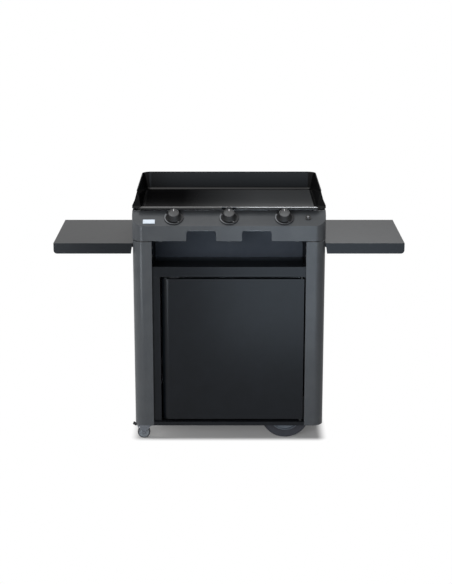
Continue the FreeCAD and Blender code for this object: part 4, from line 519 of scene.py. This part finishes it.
BEZEL_PLASTIC = moulded("bezel_plastic", (36, 37, 40), (30, 31, 34), roughness=0.42, specular=0.25, patch=25.0,
                        grain=(0.4, 0.008), edge=0.8)
DARK_CASE = moulded("dark_case", (22, 22, 23), (17, 17, 18), roughness=0.35, grain=(0.4, 0.006))
TYRE_RUBBER = moulded("tyre_rubber", (48, 49, 53), (40, 41, 44), roughness=0.55, specular=0.35, patch=40.0,
                      grain=(0.5, 0.02), edge=1.2, dust=0.05)
HUB_PLASTIC = moulded("hub_plastic", (88, 95, 103), (76, 82, 90), roughness=0.42, specular=0.45, patch=40.0,
                      grain=(0.5, 0.012), edge=0.8, dust=0.04)
CASTER_TREAD = moulded("caster_tread", (52, 54, 57), (44, 46, 49), roughness=0.5, specular=0.4, patch=18.0,
                       edge=0.6, dust=0.05)
CASTER_HUB = moulded("caster_hub", (122, 128, 134), (108, 114, 120), roughness=0.4, patch=18.0,
                     grain=(0.4, 0.008), dust=0.04)
PEDAL_RUBBER = moulded("pedal_rubber", (22, 22, 23), (17, 17, 18), roughness=0.55, specular=0.35, patch=14.0,
                       grain=(0.4, 0.015), dust=0.03)
FOOT_RUBBER = Finish("foot_rubber", (24, 24, 24), (19, 19, 19), roughness=0.7, specular=0.3,
                     grain=(0.5, 0.02), wear=0.0)
CERAMIC = Finish("white_ceramic", (226, 222, 212), (212, 206, 194), roughness=0.22, patch=12.0,
                 grain=(0.7, 0.003), edge=0.4, wear=0.0, dust=0.08)
PRINT_GREY = printed("print_grey", (112, 115, 119), (98, 101, 105), patch=12.0, edge=0.2)
PRINT_WHITE = printed("print_white", (225, 226, 226), (205, 206, 208), patch=8.0, edge=0.1)
# Painted highlight: the light grey disc on the ignition button's top stands in for the top light's reflection.
BUTTON_PAINTED_HIGHLIGHT = printed("button_top", (150, 152, 156), (138, 140, 145), roughness=0.4, specular=0.4, patch=8.0,
                     grain=(0.3, 0.006), edge=0.3)


def each(stem: str, places: Sequence[str]) -> tuple[str, ...]:
    """Names the nodes of one kind by their places."""
    return tuple(f"{stem}_{place}" for place in places)


NODE_FINISHES: tuple[tuple[Finish, tuple[str, ...]], ...] = (
    (SHELL_PAINT, ("control_head", *each("side_panel", SIDES))),
    (SHELF_PAINT, each("shelf", SIDES)),
    (CABINET_PAINT, ("base_pan", "door_stile", "door_panel", "shelf_brackets", "wheel_arches", "grease_tray",
                     *each("shelf_hinge", SIDES))),
    (TRAY_PAINT, ("niche_tray",)),
    (NICHE_PAINT, each("inner_wall", SIDES)),
    (NICHE_BACK_PAINTED_LIGHT, ("niche_back_panel",)),
    (PAN_ENAMEL, ("griddle_pan",)),
    (GALVANISED, ("rear_panel", "head_base_rails", "heat_shield", "griddle_rails", "burner_brackets",
                  "grease_chute")),
    (ZINC, ("caster_plates", *each("caster_brake", ENDS))),
    (FORK_STEEL, each("caster_fork", ENDS)),
    (STEEL, ("gas_manifold", "gas_inlet_pipe", "wheel_axles", *each("valve_stem", PLACES))),
    (HEATED_STEEL, ("burners",)),
    (BADGE_SILVER, ("badge_plate",)),
    (BRASS, ("gas_valves", *each("valve_plug", PLACES))),
    (DARK_BOLT, ("door_hinge_pins", "body_bolts")),
    (KNOB_PLASTIC, each("knob", PLACES)),
    (BEZEL_PLASTIC, ("knob_bezels",)),
    (DARK_CASE, ("igniter_button", "igniter_bezel", "igniter_module", "door_magnet")),
    (TYRE_RUBBER, each("wheel_tyre", ENDS)),
    (HUB_PLASTIC, each("wheel_hub", ENDS)),
    (CASTER_TREAD, each("caster_wheel", ENDS)),
    (FOOT_RUBBER, ("head_feet",)),
    (CERAMIC, ("electrodes",)),
)


# Shaping

SMOOTH_LIMIT = math.radians(32.0)


def at(x: float, y: float, z: float) -> Matrix:
    """Gives the matrix that moves a shape by X, Y and Z."""
    return Matrix.Translation((x, y, z))


def new_object(name: str, data: bpy.types.ID) -> bpy.types.Object:
    """Puts an object in the scene.

    Args:
        name: The object's name.
        data: Its mesh, lamp or camera.

    Returns:
        The object.
    """
    made = bpy.data.objects.new(name, data)
    bpy.context.scene.collection.objects.link(made)
    return made


class Workpiece:
    """A mesh that bmesh operators shape in millimetres, and the piece made from it."""

    def __init__(self) -> None:
        """Starts with an empty mesh."""
        self.mesh = bmesh.new()

    def lathe(self, outline: Outline, steps: int = 72, arc: float = math.tau) -> "Workpiece":
        """Spins an outline about the Z axis.

        Args:
            outline: Points as radius and height.
            steps: Number of facets round.
            arc: Angle that is spun.

        Returns:
            This workpiece.
        """
        points = [self.mesh.verts.new((radius, 0.0, height)) for radius, height in outline]
        edges = [self.mesh.edges.new(pair) for pair in zip(points, points[1:])]
        bmesh.ops.spin(self.mesh, geom=points + edges, cent=(0.0, 0.0, 0.0), axis=(0.0, 0.0, 1.0), angle=arc,
                       steps=steps, use_merge=arc >= math.tau)
        return self.weld()

    def weld(self) -> "Workpiece":
        """Merges doubles and turns all faces outwards.

        Returns:
            This workpiece.
        """
        bmesh.ops.remove_doubles(self.mesh, verts=self.mesh.verts, dist=1e-3)
        bmesh.ops.recalc_face_normals(self.mesh, faces=self.mesh.faces)
        return self

    def soften(self, width: float, chosen: Callable[[bmesh.types.BMEdge], bool], segments: int) -> "Workpiece":
        """Rounds some edges.

        Args:
            width: Width of the bevel.
            chosen: Test that picks the edges.
            segments: Number of steps across the bevel.

        Returns:
            This workpiece.
        """
        edges = [edge for edge in self.mesh.edges if len(edge.link_faces) == 2 and chosen(edge)]
        bmesh.ops.bevel(self.mesh, geom=edges, offset=width, offset_type="OFFSET", segments=segments,
                        profile=0.5, affect="EDGES", material=-1, clamp_overlap=True)
        return self

    def soften_corners(self, width: float, sharper: float = 25.0, segments: int = 3) -> "Workpiece":
        """Rounds every edge that turns by more than an angle in degrees."""
        limit = math.radians(sharper)
        return self.soften(width, lambda edge: edge.calc_face_angle(0.0) > limit, segments)

    def slab(self, width: float, depth: float, height: float) -> "Workpiece":
        """Adds a block that stands on the XY plane.

        Args:
            width: Length along X.
            depth: Length along Y.
            height: Length along Z.

        Returns:
            This workpiece.
        """
        corners = bmesh.ops.create_cube(self.mesh, size=1.0)["verts"]
        bmesh.ops.scale(self.mesh, vec=(width, depth, height), verts=corners)
        return self.lift(corners, height / 2)

    def lift(self, parts: Sequence[object], height: float) -> "Workpiece":
        """Moves the corners among some parts of the mesh along Z.

        Args:
            parts: Corners, edges and faces.
            height: How far up they go.

        Returns:
            This workpiece.
        """
        corners = [part for part in parts if isinstance(part, bmesh.types.BMVert)]
        bmesh.ops.translate(self.mesh, vec=(0.0, 0.0, height), verts=corners)
        return self

    def move(self, matrix: Matrix) -> "Workpiece":
        """Places the whole mesh."""
        bmesh.ops.transform(self.mesh, matrix=matrix, verts=self.mesh.verts)
        return self

    def join(self, other: "Workpiece") -> "Workpiece":
        """Takes the faces of another workpiece in.

        Args:
            other: The workpiece, which is used up.

        Returns:
            This workpiece.
        """
        holder = bpy.data.meshes.new("holder")
        other.mesh.to_mesh(holder)
        other.mesh.free()
        self.mesh.from_mesh(holder)
        bpy.data.meshes.remove(holder)
        return self

    def dress(self, number: int, chosen: Callable[[bmesh.types.BMFace], bool]) -> "Workpiece":
        """Gives some faces the finish with that number."""
        for face in self.mesh.faces:
            if chosen(face):
                face.material_index = number
        return self

    def piece(self, name: str, body: str, slot: str, finishes: Sequence[Finish],
              stands_for: Sequence[str] = ()) -> bpy.types.Object:
        """Makes the object, dresses it and ties it to the frame.

        Args:
            name: The piece's name.
            body: The CAD body that it rides on.
            slot: The record's material slot; not used.
            finishes: Its finishes, by the faces' numbers.
            stands_for: CAD nodes that it replaces.

        Returns:
            The finished object, at the origin.
        """
        self.move(Matrix.Scale(MM, 4))
        for face in self.mesh.faces:
            face.smooth = True
        for edge in self.mesh.edges:
            edge.smooth = edge.calc_face_angle(0.0) < SMOOTH_LIMIT
        data = bpy.data.meshes.new(name)
        self.mesh.to_mesh(data)
        self.mesh.free()
        for finish in finishes:
            data.materials.append(finish.build())
        made = new_object(name, data)
        if stands_for:
            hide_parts(*stands_for)
        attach(made, body)
        log.info("%s rides on %s", name, body)
        return made


def both_faces(upper: Outline) -> Outline:
    """Closes a wheel's outline with its mirror image below the XY plane."""
    return [*upper, *((radius, -height) for radius, height in reversed(upper)), upper[0]]


def below(top: float, section: Outline) -> Outline:
    """Turns radii and depths under a wheel's side into radii and heights."""
    return [(radius, top - depth) for radius, depth in section]


PANEL_TILT = math.radians(35.0)


@dataclass(frozen=True)
class Panel:
    """The slanted control panel's plane: where pieces on it stand."""

    middle_y: float = -218.14
    middle_z: float = 928.81

    def seat(self, x: float, up: float = 0.0, out: float = 0.0) -> Matrix:
        """Gives a place on the panel, up its slope and off it, with Y up the slope and Z out."""
        base = at(x, self.middle_y, self.middle_z) @ Matrix.Rotation(PANEL_TILT, 4, "X")
        return base @ at(0.0, up, out)


@dataclass
class Knobs:
    """Three push-and-turn knobs with their pointers, and the marks printed round them.

    Heights are above the panel and angles are degrees. The margin keeps the sunk face's finish off its
    slope, and the arc's tip is its least width as a share of the full one.
    """

    panel: Panel
    spacing: float = 219.0
    low: float = 4.8
    skirt_radius: float = 28.8
    skirt_height: float = 3.6
    skirt_slope: float = 1.8
    waist_radius: float = 26.0
    top_radius: float = 21.5
    top_height: float = 28.8
    face_radius: float = 17.6
    face_drop: float = 0.9
    face_slope: float = 0.6
    face_crown: float = 0.25
    face_margin: float = 0.5
    rounding: float = 1.0
    bore_radius: float = 3.1
    bore_height: float = 24.8
    tick_width: float = 2.3
    tick_length: float = 11.0
    tick_height: float = 0.5
    tick_depth: float = 1.2
    tick_inset: float = 0.8
    tick_rounding: float = 0.35
    arc_outer: float = 37.4
    arc_inner: float = 31.2
    arc_start: float = 150.0
    arc_end: float = 300.0
    arc_tip: float = 0.12
    arc_taper: float = 0.8
    bezel_top: float = 4.5
    print_height: float = 0.35
    arc_sunk: float = 0.1
    dot_radius: float = 1.3
    dot_crown: float = 0.5
    dot_angle: float = -55.0
    dot_reach: float = 31.5
    dot_sunk: float = 0.05

    def body(self) -> Workpiece:
        """Spins the knob: flared skirt, waist, tapered grip and a sunk top face.

        Returns:
            The knob.
        """
        shoulder = self.low + self.skirt_height
        sunk = self.top_height - self.face_drop
        shape = Workpiece().lathe([
            (self.bore_radius, self.low), (self.skirt_radius, self.low), (self.skirt_radius, shoulder),
            (self.waist_radius, shoulder + self.skirt_slope), (self.top_radius, self.top_height),
            (self.face_radius, self.top_height), (self.face_radius - self.face_slope, sunk),
            (0.0, sunk + self.face_crown)], steps=96)
        shape.soften_corners(self.rounding, sharper=30.0, segments=4)
        shape.join(Workpiece().lathe([
            (self.bore_radius, self.low), (self.bore_radius, self.bore_height), (0.0, self.bore_height)],
            steps=48))
        reach = self.face_radius - self.face_margin
        return shape.dress(1, lambda face: face.calc_center_median().z > sunk - self.face_margin
                           and face.calc_center_median().xy.length < reach)

    def tick(self) -> Workpiece:
        """Makes the raised pointer that runs over the top face to its edge.

        Returns:
            The pointer.
        """
        mark = Workpiece().slab(self.tick_width, self.tick_length, self.tick_height + self.tick_depth)
        mark.soften_corners(self.tick_rounding, segments=2)
        middle = self.top_radius - self.tick_inset - self.tick_length / 2
        return mark.move(at(0.0, middle, self.top_height - self.tick_depth))

    def arc(self) -> Workpiece:
        """Spins the tapering grey mark on the bezel's rim.

        Returns:
            The mark.
        """
        sweep = math.radians(self.arc_end - self.arc_start)
        band = Workpiece().lathe([(self.arc_inner, 0.0), (self.arc_outer, 0.0)], steps=60, arc=sweep)
        middle = (self.arc_inner + self.arc_outer) / 2
        for vertex in band.mesh.verts:
            share = math.atan2(vertex.co.y, vertex.co.x) / sweep
            if vertex.co.xy.length < middle:
                width = (self.arc_outer - self.arc_inner) * max(self.arc_tip, 1.0 - share) ** self.arc_taper
                vertex.co.xy = vertex.co.xy.normalized() * (self.arc_outer - width)
        made = bmesh.ops.extrude_face_region(band.mesh, geom=band.mesh.faces[:])
        band.lift(made["geom"], self.print_height).weld()
        turn = Matrix.Rotation(math.radians(self.arc_start), 4, "Z")
        return band.move(at(0.0, 0.0, self.bezel_top - self.arc_sunk) @ turn)

    def dot(self) -> Workpiece:
        """Makes the small white dot at the lower right of the bezel.

        Returns:
            The dot.
        """
        drop = Workpiece().lathe([
            (self.dot_radius, 0.0), (self.dot_radius, self.print_height), (0.0, self.dot_crown)], steps=20)
        angle = math.radians(self.dot_angle)
        return drop.move(at(self.dot_reach * math.cos(angle), self.dot_reach * math.sin(angle),
                            self.bezel_top - self.dot_sunk))

    def make(self) -> None:
        """Builds the three knobs with their marks."""
        for number, place in enumerate(PLACES):
            seat = self.panel.seat((number - 1) * self.spacing)
            body = f"knob_{place}"
            self.body().move(seat).piece(f"control_knob_{place}", body, "black_plastic",
                                         (KNOB_PLASTIC, KNOB_FACE), (body,))
            self.tick().move(seat).piece(f"knob_pointer_{place}", body, "black_plastic", (PRINT_WHITE,))
            self.arc().move(seat).piece(f"bezel_mark_{place}", "cart", "dark_bezel", (PRINT_GREY,))
            self.dot().move(seat).piece(f"bezel_dot_{place}", "cart", "dark_bezel", (PRINT_WHITE,))


@dataclass
class Badge:
    """The blank plate at the left of the panel: a raised border round a bare field."""

    panel: Panel
    x: float = -316.8
    up: float = -22.0
    width: float = 47.5
    height: float = 21.5
    inset: float = 0.6
    border: float = 1.6
    thickness: float = 1.5
    raised: float = 0.7
    sunk: float = 0.2
    rounding: float = 0.3

    def make(self) -> None:
        """Builds the raised border over the CAD plate's edge."""
        rim = Workpiece().slab(self.width - self.inset, self.height - self.inset, self.raised + self.sunk)
        top = [face for face in rim.mesh.faces if face.normal.z > 0.9]
        bmesh.ops.inset_individual(rim.mesh, faces=top, thickness=self.border)
        rim.lift(top[0].verts, -self.raised)
        rim.soften_corners(self.rounding, segments=2)
        seat = self.panel.seat(self.x, self.up, self.thickness - self.sunk)
        rim.move(seat).piece("badge_border", "cart", "silver_plate", (BADGE_SILVER,))


@dataclass
class ButtonPaintedHighlight:
    """The light disc set in the ignition button's flat top, painted lighter to stand in for the top light's
    highlight.
    """

    panel: Panel
    x: float = 313.3
    out: float = 6.4
    radius: float = 4.3
    thickness: float = 0.5
    rounding: float = 0.25

    def make(self) -> None:
        """Spins the painted-highlight disc and seats it on the button."""
        disc = Workpiece().lathe([
            (self.radius, 0.0), (self.radius, self.thickness), (0.0, self.thickness)], steps=40)
        disc.soften_corners(self.rounding, segments=2)
        disc.move(self.panel.seat(self.x, out=self.out)).piece(
            "button_top", "igniter", "black_plastic", (BUTTON_PAINTED_HIGHLIGHT,))


@dataclass
class BoltHeads:
    """Round heads with a hexagon socket, inside the niche and at the shelf brackets."""

    radius: float = 5.5
    height: float = 3.0
    rounding: float = 1.5
    socket_radius: float = 2.6
    socket_depth: float = 1.8
    niche_x: float = 308.5
    niche_y: Span = (-201.0, 49.0)
    niche_z: Span = (804.0, 770.0)
    shelf_x: float = 385.8
    shelf_y: Span = (-194.2, 195.2)
    shelf_z: float = 815.75

    def head(self) -> Workpiece:
        """Makes one head that stands on the XY plane.

        Returns:
            The head.
        """
        near_base, near_top, near_rim = self.height * 0.1, self.height * 0.9, self.radius * 0.9
        shape = Workpiece()
        mesh = shape.mesh

        def open_edges(floor: float) -> list[bmesh.types.BMEdge]:
            """Gives the edges above a height that still lack a face."""
            return [edge for edge in mesh.edges
                    if len(edge.link_faces) < 2 and min(vertex.co.z for vertex in edge.verts) > floor]

        rim = bmesh.ops.create_cone(mesh, cap_ends=False, segments=24, radius1=self.radius,
                                    radius2=self.radius, depth=self.height)
        shape.lift(rim["verts"], self.height / 2)
        hexagon = bmesh.ops.create_circle(mesh, segments=6, radius=self.socket_radius)
        shape.lift(hexagon["verts"], self.height)
        bmesh.ops.bridge_loops(mesh, edges=open_edges(near_top))
        walls = bmesh.ops.extrude_edge_only(mesh, edges=open_edges(near_top))
        shape.lift(walls["geom"], -self.socket_depth)
        bmesh.ops.contextual_create(mesh, geom=open_edges(near_base))
        bmesh.ops.contextual_create(mesh, geom=open_edges(-near_base))
        shape.weld()
        return shape.soften(self.rounding, lambda edge: all(
            vertex.co.z > near_top and vertex.co.xy.length > near_rim for vertex in edge.verts), segments=4)

    def make(self) -> None:
        """Builds all heads as one piece in place of the plain ones."""
        whole = Workpiece()
        for side in (-1, 1):
            inward = Matrix.Rotation(-side * math.pi / 2, 4, "Y")
            for y in self.niche_y:
                for z in self.niche_z:
                    whole.join(self.head().move(at(side * self.niche_x, y, z) @ inward))
            outward = Matrix.Rotation(side * math.pi / 2, 4, "Y")
            for y in self.shelf_y:
                whole.join(self.head().move(at(side * self.shelf_x, y, self.shelf_z) @ outward))
        whole.piece("socket_bolt_heads", "cart", "dark_bolt", (DARK_BOLT,), ("body_bolts",))


@dataclass
class LargeWheels:
    """Moulded wheels with a rounded tyre and a dished hub.

    The ring round the hub is given as radii and depths under the wheel's side.
    """

    x: float = 231.0
    centres: Span = (-187.0, 183.0)
    radius: float = 100.0
    half_width: float = 18.0
    rim_radius: float = 69.0
    rim_depth: float = 0.6
    bead_width: float = 4.0
    bead_slope: float = 1.0
    wall_depth: float = 1.4
    wall_end: Span = (9.0, 7.5)
    shoulder: float = 4.0
    groove_depth: float = 2.2
    groove_halves: Span = (2.0, 1.2)
    groove_centres: Span = (8.0, 0.0)
    boss_radius: float = 16.0
    boss_proud: float = 2.5
    dish_slope: float = 3.0
    dish_depth: float = 5.0
    dish_end: Span = (7.0, 3.5)
    ring: Outline = ((36.0, 5.8), (37.5, 4.2), (41.5, 4.2), (43.0, 5.8))
    bore_radius: float = 6.05
    sharp: float = 28.0
    tyre_rounding: float = 0.9
    hub_rounding: float = 0.8

    def groove(self, middle: float) -> Outline:
        """Gives the outline of a tread groove from its outer edge inwards."""
        floor, (mouth, bottom) = self.radius - self.groove_depth, self.groove_halves
        return [(self.radius, middle + mouth), (floor, middle + bottom), (floor, middle - bottom),
                (self.radius, middle - mouth)]

    def tyre(self) -> Workpiece:
        """Spins the tyre: side walls with a raised bead, rounded shoulders and three tread grooves.

        Returns:
            The tyre.
        """
        bead, (wall, slope) = self.rim_radius + self.bead_width, self.wall_end
        side = below(self.half_width, (
            (self.rim_radius, 0.0), (bead, 0.0), (bead + self.bead_slope, self.wall_depth),
            (self.radius - wall, self.wall_depth), (self.radius - slope, 0.0),
            (self.radius - self.shoulder, 0.0), (self.radius, self.shoulder)))
        outer, middle = (self.groove(centre) for centre in self.groove_centres)
        ring = Workpiece().lathe(both_faces([*side, *outer, *middle[:2]]), steps=120)
        return ring.soften_corners(self.tyre_rounding, self.sharp)

    def hub(self) -> Workpiece:
        """Spins the hub: rim, dish, ring and boss, the same on both faces.

        Returns:
            The hub.
        """
        rim, (dish, slope) = self.rim_radius, self.dish_end
        face = below(self.half_width, (
            (self.bore_radius, -self.boss_proud), (self.boss_radius, -self.boss_proud),
            (self.boss_radius + self.dish_slope, self.dish_depth), *self.ring, (rim - dish, self.dish_depth),
            (rim - slope, self.rim_depth), (rim, self.rim_depth)))
        return Workpiece().lathe(both_faces(face), steps=120).soften_corners(self.hub_rounding, self.sharp)

    def make(self) -> None:
        """Builds both wheels."""
        for end, y in zip(ENDS, self.centres):
            seat = at(self.x, y, self.radius) @ Matrix.Rotation(math.pi / 2, 4, "X")
            body = f"wheel_{end}"
            self.tyre().move(seat).piece(f"large_tyre_{end}", body, "tyre_rubber", (TYRE_RUBBER,),
                                         (f"wheel_tyre_{end}",))
            self.hub().move(seat).piece(f"large_hub_{end}", body, "grey_hub", (HUB_PLASTIC,),
                                        (f"wheel_hub_{end}",))


@dataclass
class Casters:
    """Small wheels with a light hub and a dark tread, and the black grips on the brake pedals.

    The hub's face is given as radii and depths under the wheel's side.
    """

    axle_x: float = -351.0
    centres: Span = (-205.0, 201.0)
    radius: float = 25.5
    half_width: float = 10.0
    shoulder: float = 2.0
    hub_radius: float = 21.5
    hub_face: Outline = ((9.0, 0.0), (10.5, 2.0), (17.5, 2.0), (18.5, 0.8), (20.9, 0.8), (21.1, 0.0))
    bore_radius: float = 4.05
    rounding: float = 0.5
    hub_margin: float = 0.5
    grip_x: float = -387.7
    grip_z: float = 59.4
    grip_size: Triple = (15.4, 16.2, 8.3)
    grip_rounding: float = 1.4
    grip_slope: float = 30.0
    rib_size: Triple = (1.6, 13.2, 1.4)
    rib_rounding: float = 0.4

    def wheel(self) -> Workpiece:
        """Spins tread and hub as one shape.

        Returns:
            The wheel.
        """
        upper = below(self.half_width, (
            (self.bore_radius, 0.0), *self.hub_face, (self.radius - self.shoulder, 0.0),
            (self.radius, self.shoulder)))
        shape = Workpiece().lathe(both_faces(upper)).soften_corners(self.rounding, sharper=30.0)
        reach = self.hub_radius - self.hub_margin
        return shape.dress(1, lambda face: face.calc_center_median().xy.length < reach)

    def grip(self, y: float) -> Workpiece:
        """Makes the black grip over a pedal's tip, with three ribs across its top.

        Args:
            y: The caster's place along Y.

        Returns:
            The grip.
        """
        length, _, height = self.grip_size
        shape = Workpiece().slab(*self.grip_size).soften_corners(self.grip_rounding)
        for number in (-1, 0, 1):
            rib = Workpiece().slab(*self.rib_size).soften_corners(self.rib_rounding, segments=2)
            shape.join(rib.move(at(number * length / 4, 0.0, height - self.rib_size[2] / 2)))
        turn = Matrix.Rotation(math.radians(self.grip_slope), 4, "Y")
        return shape.move(at(self.grip_x, y, self.grip_z) @ turn @ at(0.0, 0.0, -height / 2))

    def make(self) -> None:
        """Builds both caster wheels and the grips on their brakes."""
        for end, y in zip(ENDS, self.centres):
            self.grip(y).piece(f"pedal_grip_{end}", f"brake_{end}", "black_plastic", (PEDAL_RUBBER,))
            seat = at(self.axle_x, y, self.radius) @ Matrix.Rotation(math.pi / 2, 4, "X")
            self.wheel().move(seat).piece(f"swivel_wheel_{end}", f"caster_wheel_{end}", "caster_plastic",
                                          (CASTER_TREAD, CASTER_HUB), (f"caster_wheel_{end}",))


class CadFinishes:
    """The finishes of the CAD nodes that stay."""

    def make(self) -> None:
        """Gives each node its finish."""
        for finish, names in NODE_FINISHES:
            for name in names:
                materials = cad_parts[name].data.materials
                materials.clear()
                materials.append(finish.build())


# Studio


@dataclass
class Camera:
    """The camera at the photograph's place, in metres and degrees, with its lens in millimetres."""

    place: Triple = (0.0, -5.843, 2.1308)
    pitch: float = 74.9
    lens: float = 89.38
    shift: Span = (-0.00514, 0.00469)

    def make(self) -> None:
        """Makes the camera the scene's own."""
        data = bpy.data.cameras.new("studio_camera")
        data.lens = self.lens
        data.shift_x, data.shift_y = self.shift
        camera = new_object("studio_camera", data)
        camera.location = self.place
        camera.rotation_euler = (math.radians(self.pitch), 0.0, 0.0)
        bpy.context.scene.camera = camera


class Reach(Enum):
    """The faces that a lamp lights."""

    ALL = "all"
    GLOSS = "gloss"
    MATT = "matt"


@dataclass(frozen=True)
class Softbox:
    """One soft lamp. Lengths are metres and power is watts.

    Attributes:
        name: The lamp's name.
        place: Where it hangs.
        target: The point that it looks at.
        size: Its width and height.
        power: Its power.
        colour: Its colour.
        reach: What it lights: everything, gloss alone like a reflector card, or matt faces alone.
    """

    name: str
    place: Triple
    target: Triple
    size: Span
    power: float
    colour: Triple = (1.0, 1.0, 1.0)
    reach: Reach = Reach.ALL

    def make(self) -> None:
        """Hangs the lamp and turns it to its target."""
        data = bpy.data.lights.new(self.name, "AREA")
        data.shape = "RECTANGLE"
        data.size, data.size_y = self.size
        data.energy = self.power
        data.color = self.colour
        lamp = new_object(self.name, data)
        lamp.location = self.place
        aim = Vector(self.target) - Vector(self.place)
        lamp.rotation_euler = aim.to_track_quat("-Z", "Y").to_euler()
        lamp.visible_camera = False
        lamp.visible_diffuse = self.reach is not Reach.GLOSS
        lamp.visible_glossy = self.reach is not Reach.MATT


WHITE = (1.0, 1.0, 1.0, 1.0)
COOL = (0.72, 0.86, 1.0)


@dataclass
class Studio:
    """Pale floor, white surroundings and soft lamps. Lengths are metres.

    The ambient light runs from left to right. The footprint is half the station's own, and the floor
    turns from matt to white over the shadow's reach beyond it: the shade inside is lit for real, and its edge
    is painted.
    """

    ambient: Span = (0.62, 0.02)
    floor_radius: float = 40.0
    footprint: Triple = (0.36, 0.208, 0.0)
    shadow_reach: float = 0.05
    shadow_white: float = 0.11
    fibres: float = 400.0
    paper: tuple[Triple, Triple] = ((0.58, 0.58, 0.585), (0.61, 0.61, 0.615))
    lamps: tuple[Softbox, ...] = (
        Softbox("top_box", (-0.6, -0.6, 3.2), (0.0, 0.0, 0.8), (3.0, 2.4), 35.0, (1.0, 0.985, 0.965)),
        Softbox("front_box", (-1.2, -3.2, 1.3), (0.0, 0.0, 0.8), (2.2, 1.0), 40.0, reach=Reach.MATT),
        Softbox("left_box", (-3.0, 0.3, 1.0), (-0.4, -0.2, 0.5), (1.0, 2.0), 45.0, (1.0, 0.98, 0.95),
                Reach.MATT),
        Softbox("left_card", (-1.21, -2.1, 0.28), (-0.36, -0.25, 0.6), (0.34, 0.5), 10.0, (0.84, 0.92, 1.0),
                Reach.GLOSS),
        Softbox("door_card", (0.48, -1.6, 0.5), (0.48, 0.0, 0.5), (1.05, 1.6), 21.0, COOL, Reach.GLOSS),
        Softbox("wide_card", (0.35, -1.7, 1.3), (0.35, 0.0, 1.3), (1.5, 0.7), 7.5, COOL, Reach.GLOSS),
        Softbox("pan_card", (0.5, 1.5, 2.75), (0.25, 0.0, 0.95), (0.9, 0.9), 64.0, (0.90, 0.95, 1.0),
                Reach.GLOSS),
    )

    def seen_directly(self, graph: Graph) -> Socket:
        """Gives 1 for rays from the camera, from gloss and through glass."""
        path = graph.add("LightPath").outputs
        return graph.most(graph.most(path["Is Camera Ray"], path["Is Glossy Ray"]),
                          path["Is Transmission Ray"])

    def surroundings(self) -> None:
        """Makes the world white to look at and dim as a light."""
        world = bpy.data.worlds.new("studio_world")
        world.use_nodes = True
        bpy.context.scene.world = world
        graph = Graph(world.node_tree)
        heading = graph.split(graph.add("TexCoord").outputs["Generated"])[0]
        dim = graph.share(heading, -1.0, 1.0, *self.ambient)
        strength = graph.most(self.seen_directly(graph), dim)
        glow = graph.add("Background", {"Color": WHITE, "Strength": strength})
        graph.add("OutputWorld", {"Surface": glow.outputs[0]})

    def whiteness(self, graph: Graph) -> Socket:
        """Gives how white the floor is by the distance from the station's footprint.

        Args:
            graph: The floor's graph.

        Returns:
            The share of white.
        """
        # Painted shadow edge: the grey under the station ends with this footprint mask, not with the light;
        # inside it the shade is lit for real.
        mirrored = graph.add("VectorMath", {0: graph.object_point()}, operation="ABSOLUTE").outputs[0]
        beyond = graph.add("VectorMath", {0: mirrored, 1: self.footprint}, operation="SUBTRACT").outputs[0]
        outside = graph.add("VectorMath", {0: beyond, 1: (0.0, 0.0, 0.0)}, operation="MAXIMUM").outputs[0]
        distance = graph.add("VectorMath", {0: outside}, operation="LENGTH").outputs["Value"]
        return graph.add("MapRange", {0: distance, 2: self.shadow_reach, 3: self.shadow_white},
                         interpolation_type="SMOOTHSTEP").outputs[0]

    def floor(self) -> None:
        """Lays the floor: matt near the station, so that it takes the real shadow, and white further out,
        which paints the shadow's edge.
        """
        mesh = bmesh.new()
        bmesh.ops.create_circle(mesh, cap_ends=True, segments=128, radius=self.floor_radius)
        data = bpy.data.meshes.new("studio_floor")
        mesh.to_mesh(data)
        mesh.free()
        material, graph = new_material("pale_floor")
        share = graph.times(self.whiteness(graph), self.seen_directly(graph))
        grain = graph.blend(graph.noise(self.fibres), *self.paper)
        matt = graph.add("BsdfPrincipled", {"Base Color": grain, "Roughness": 0.9, "Specular IOR Level": 0.1})
        white = graph.add("Emission", {"Color": WHITE, "Strength": 1.0})
        mixed = graph.add("MixShader", {0: share, 1: matt.outputs[0], 2: white.outputs[0]})
        graph.add("OutputMaterial", {"Surface": mixed.outputs[0]})
        data.materials.append(material)
        new_object("studio_floor", data)

    def make(self) -> None:
        """Builds the surroundings, the floor and the lamps."""
        self.surroundings()
        self.floor()
        for lamp in self.lamps:
            lamp.make()


def main() -> None:
    """Builds the station's finishes and fine pieces, then the studio round it."""
    logging.basicConfig(level=logging.INFO, format="%(message)s")
    bpy.context.scene.view_settings.view_transform = "Standard"
    for effect in (make_relief, make_mottle, make_wear, make_dust, make_strokes):
        effect()
    panel = Panel()
    for part in (Camera(), CadFinishes(), Knobs(panel), Badge(panel), ButtonPaintedHighlight(panel), BoltHeads(),
                 LargeWheels(), Casters(), Studio()):
        part.make()
        log.info("%s done", type(part).__name__)


if __name__ == "__main__":
    main()
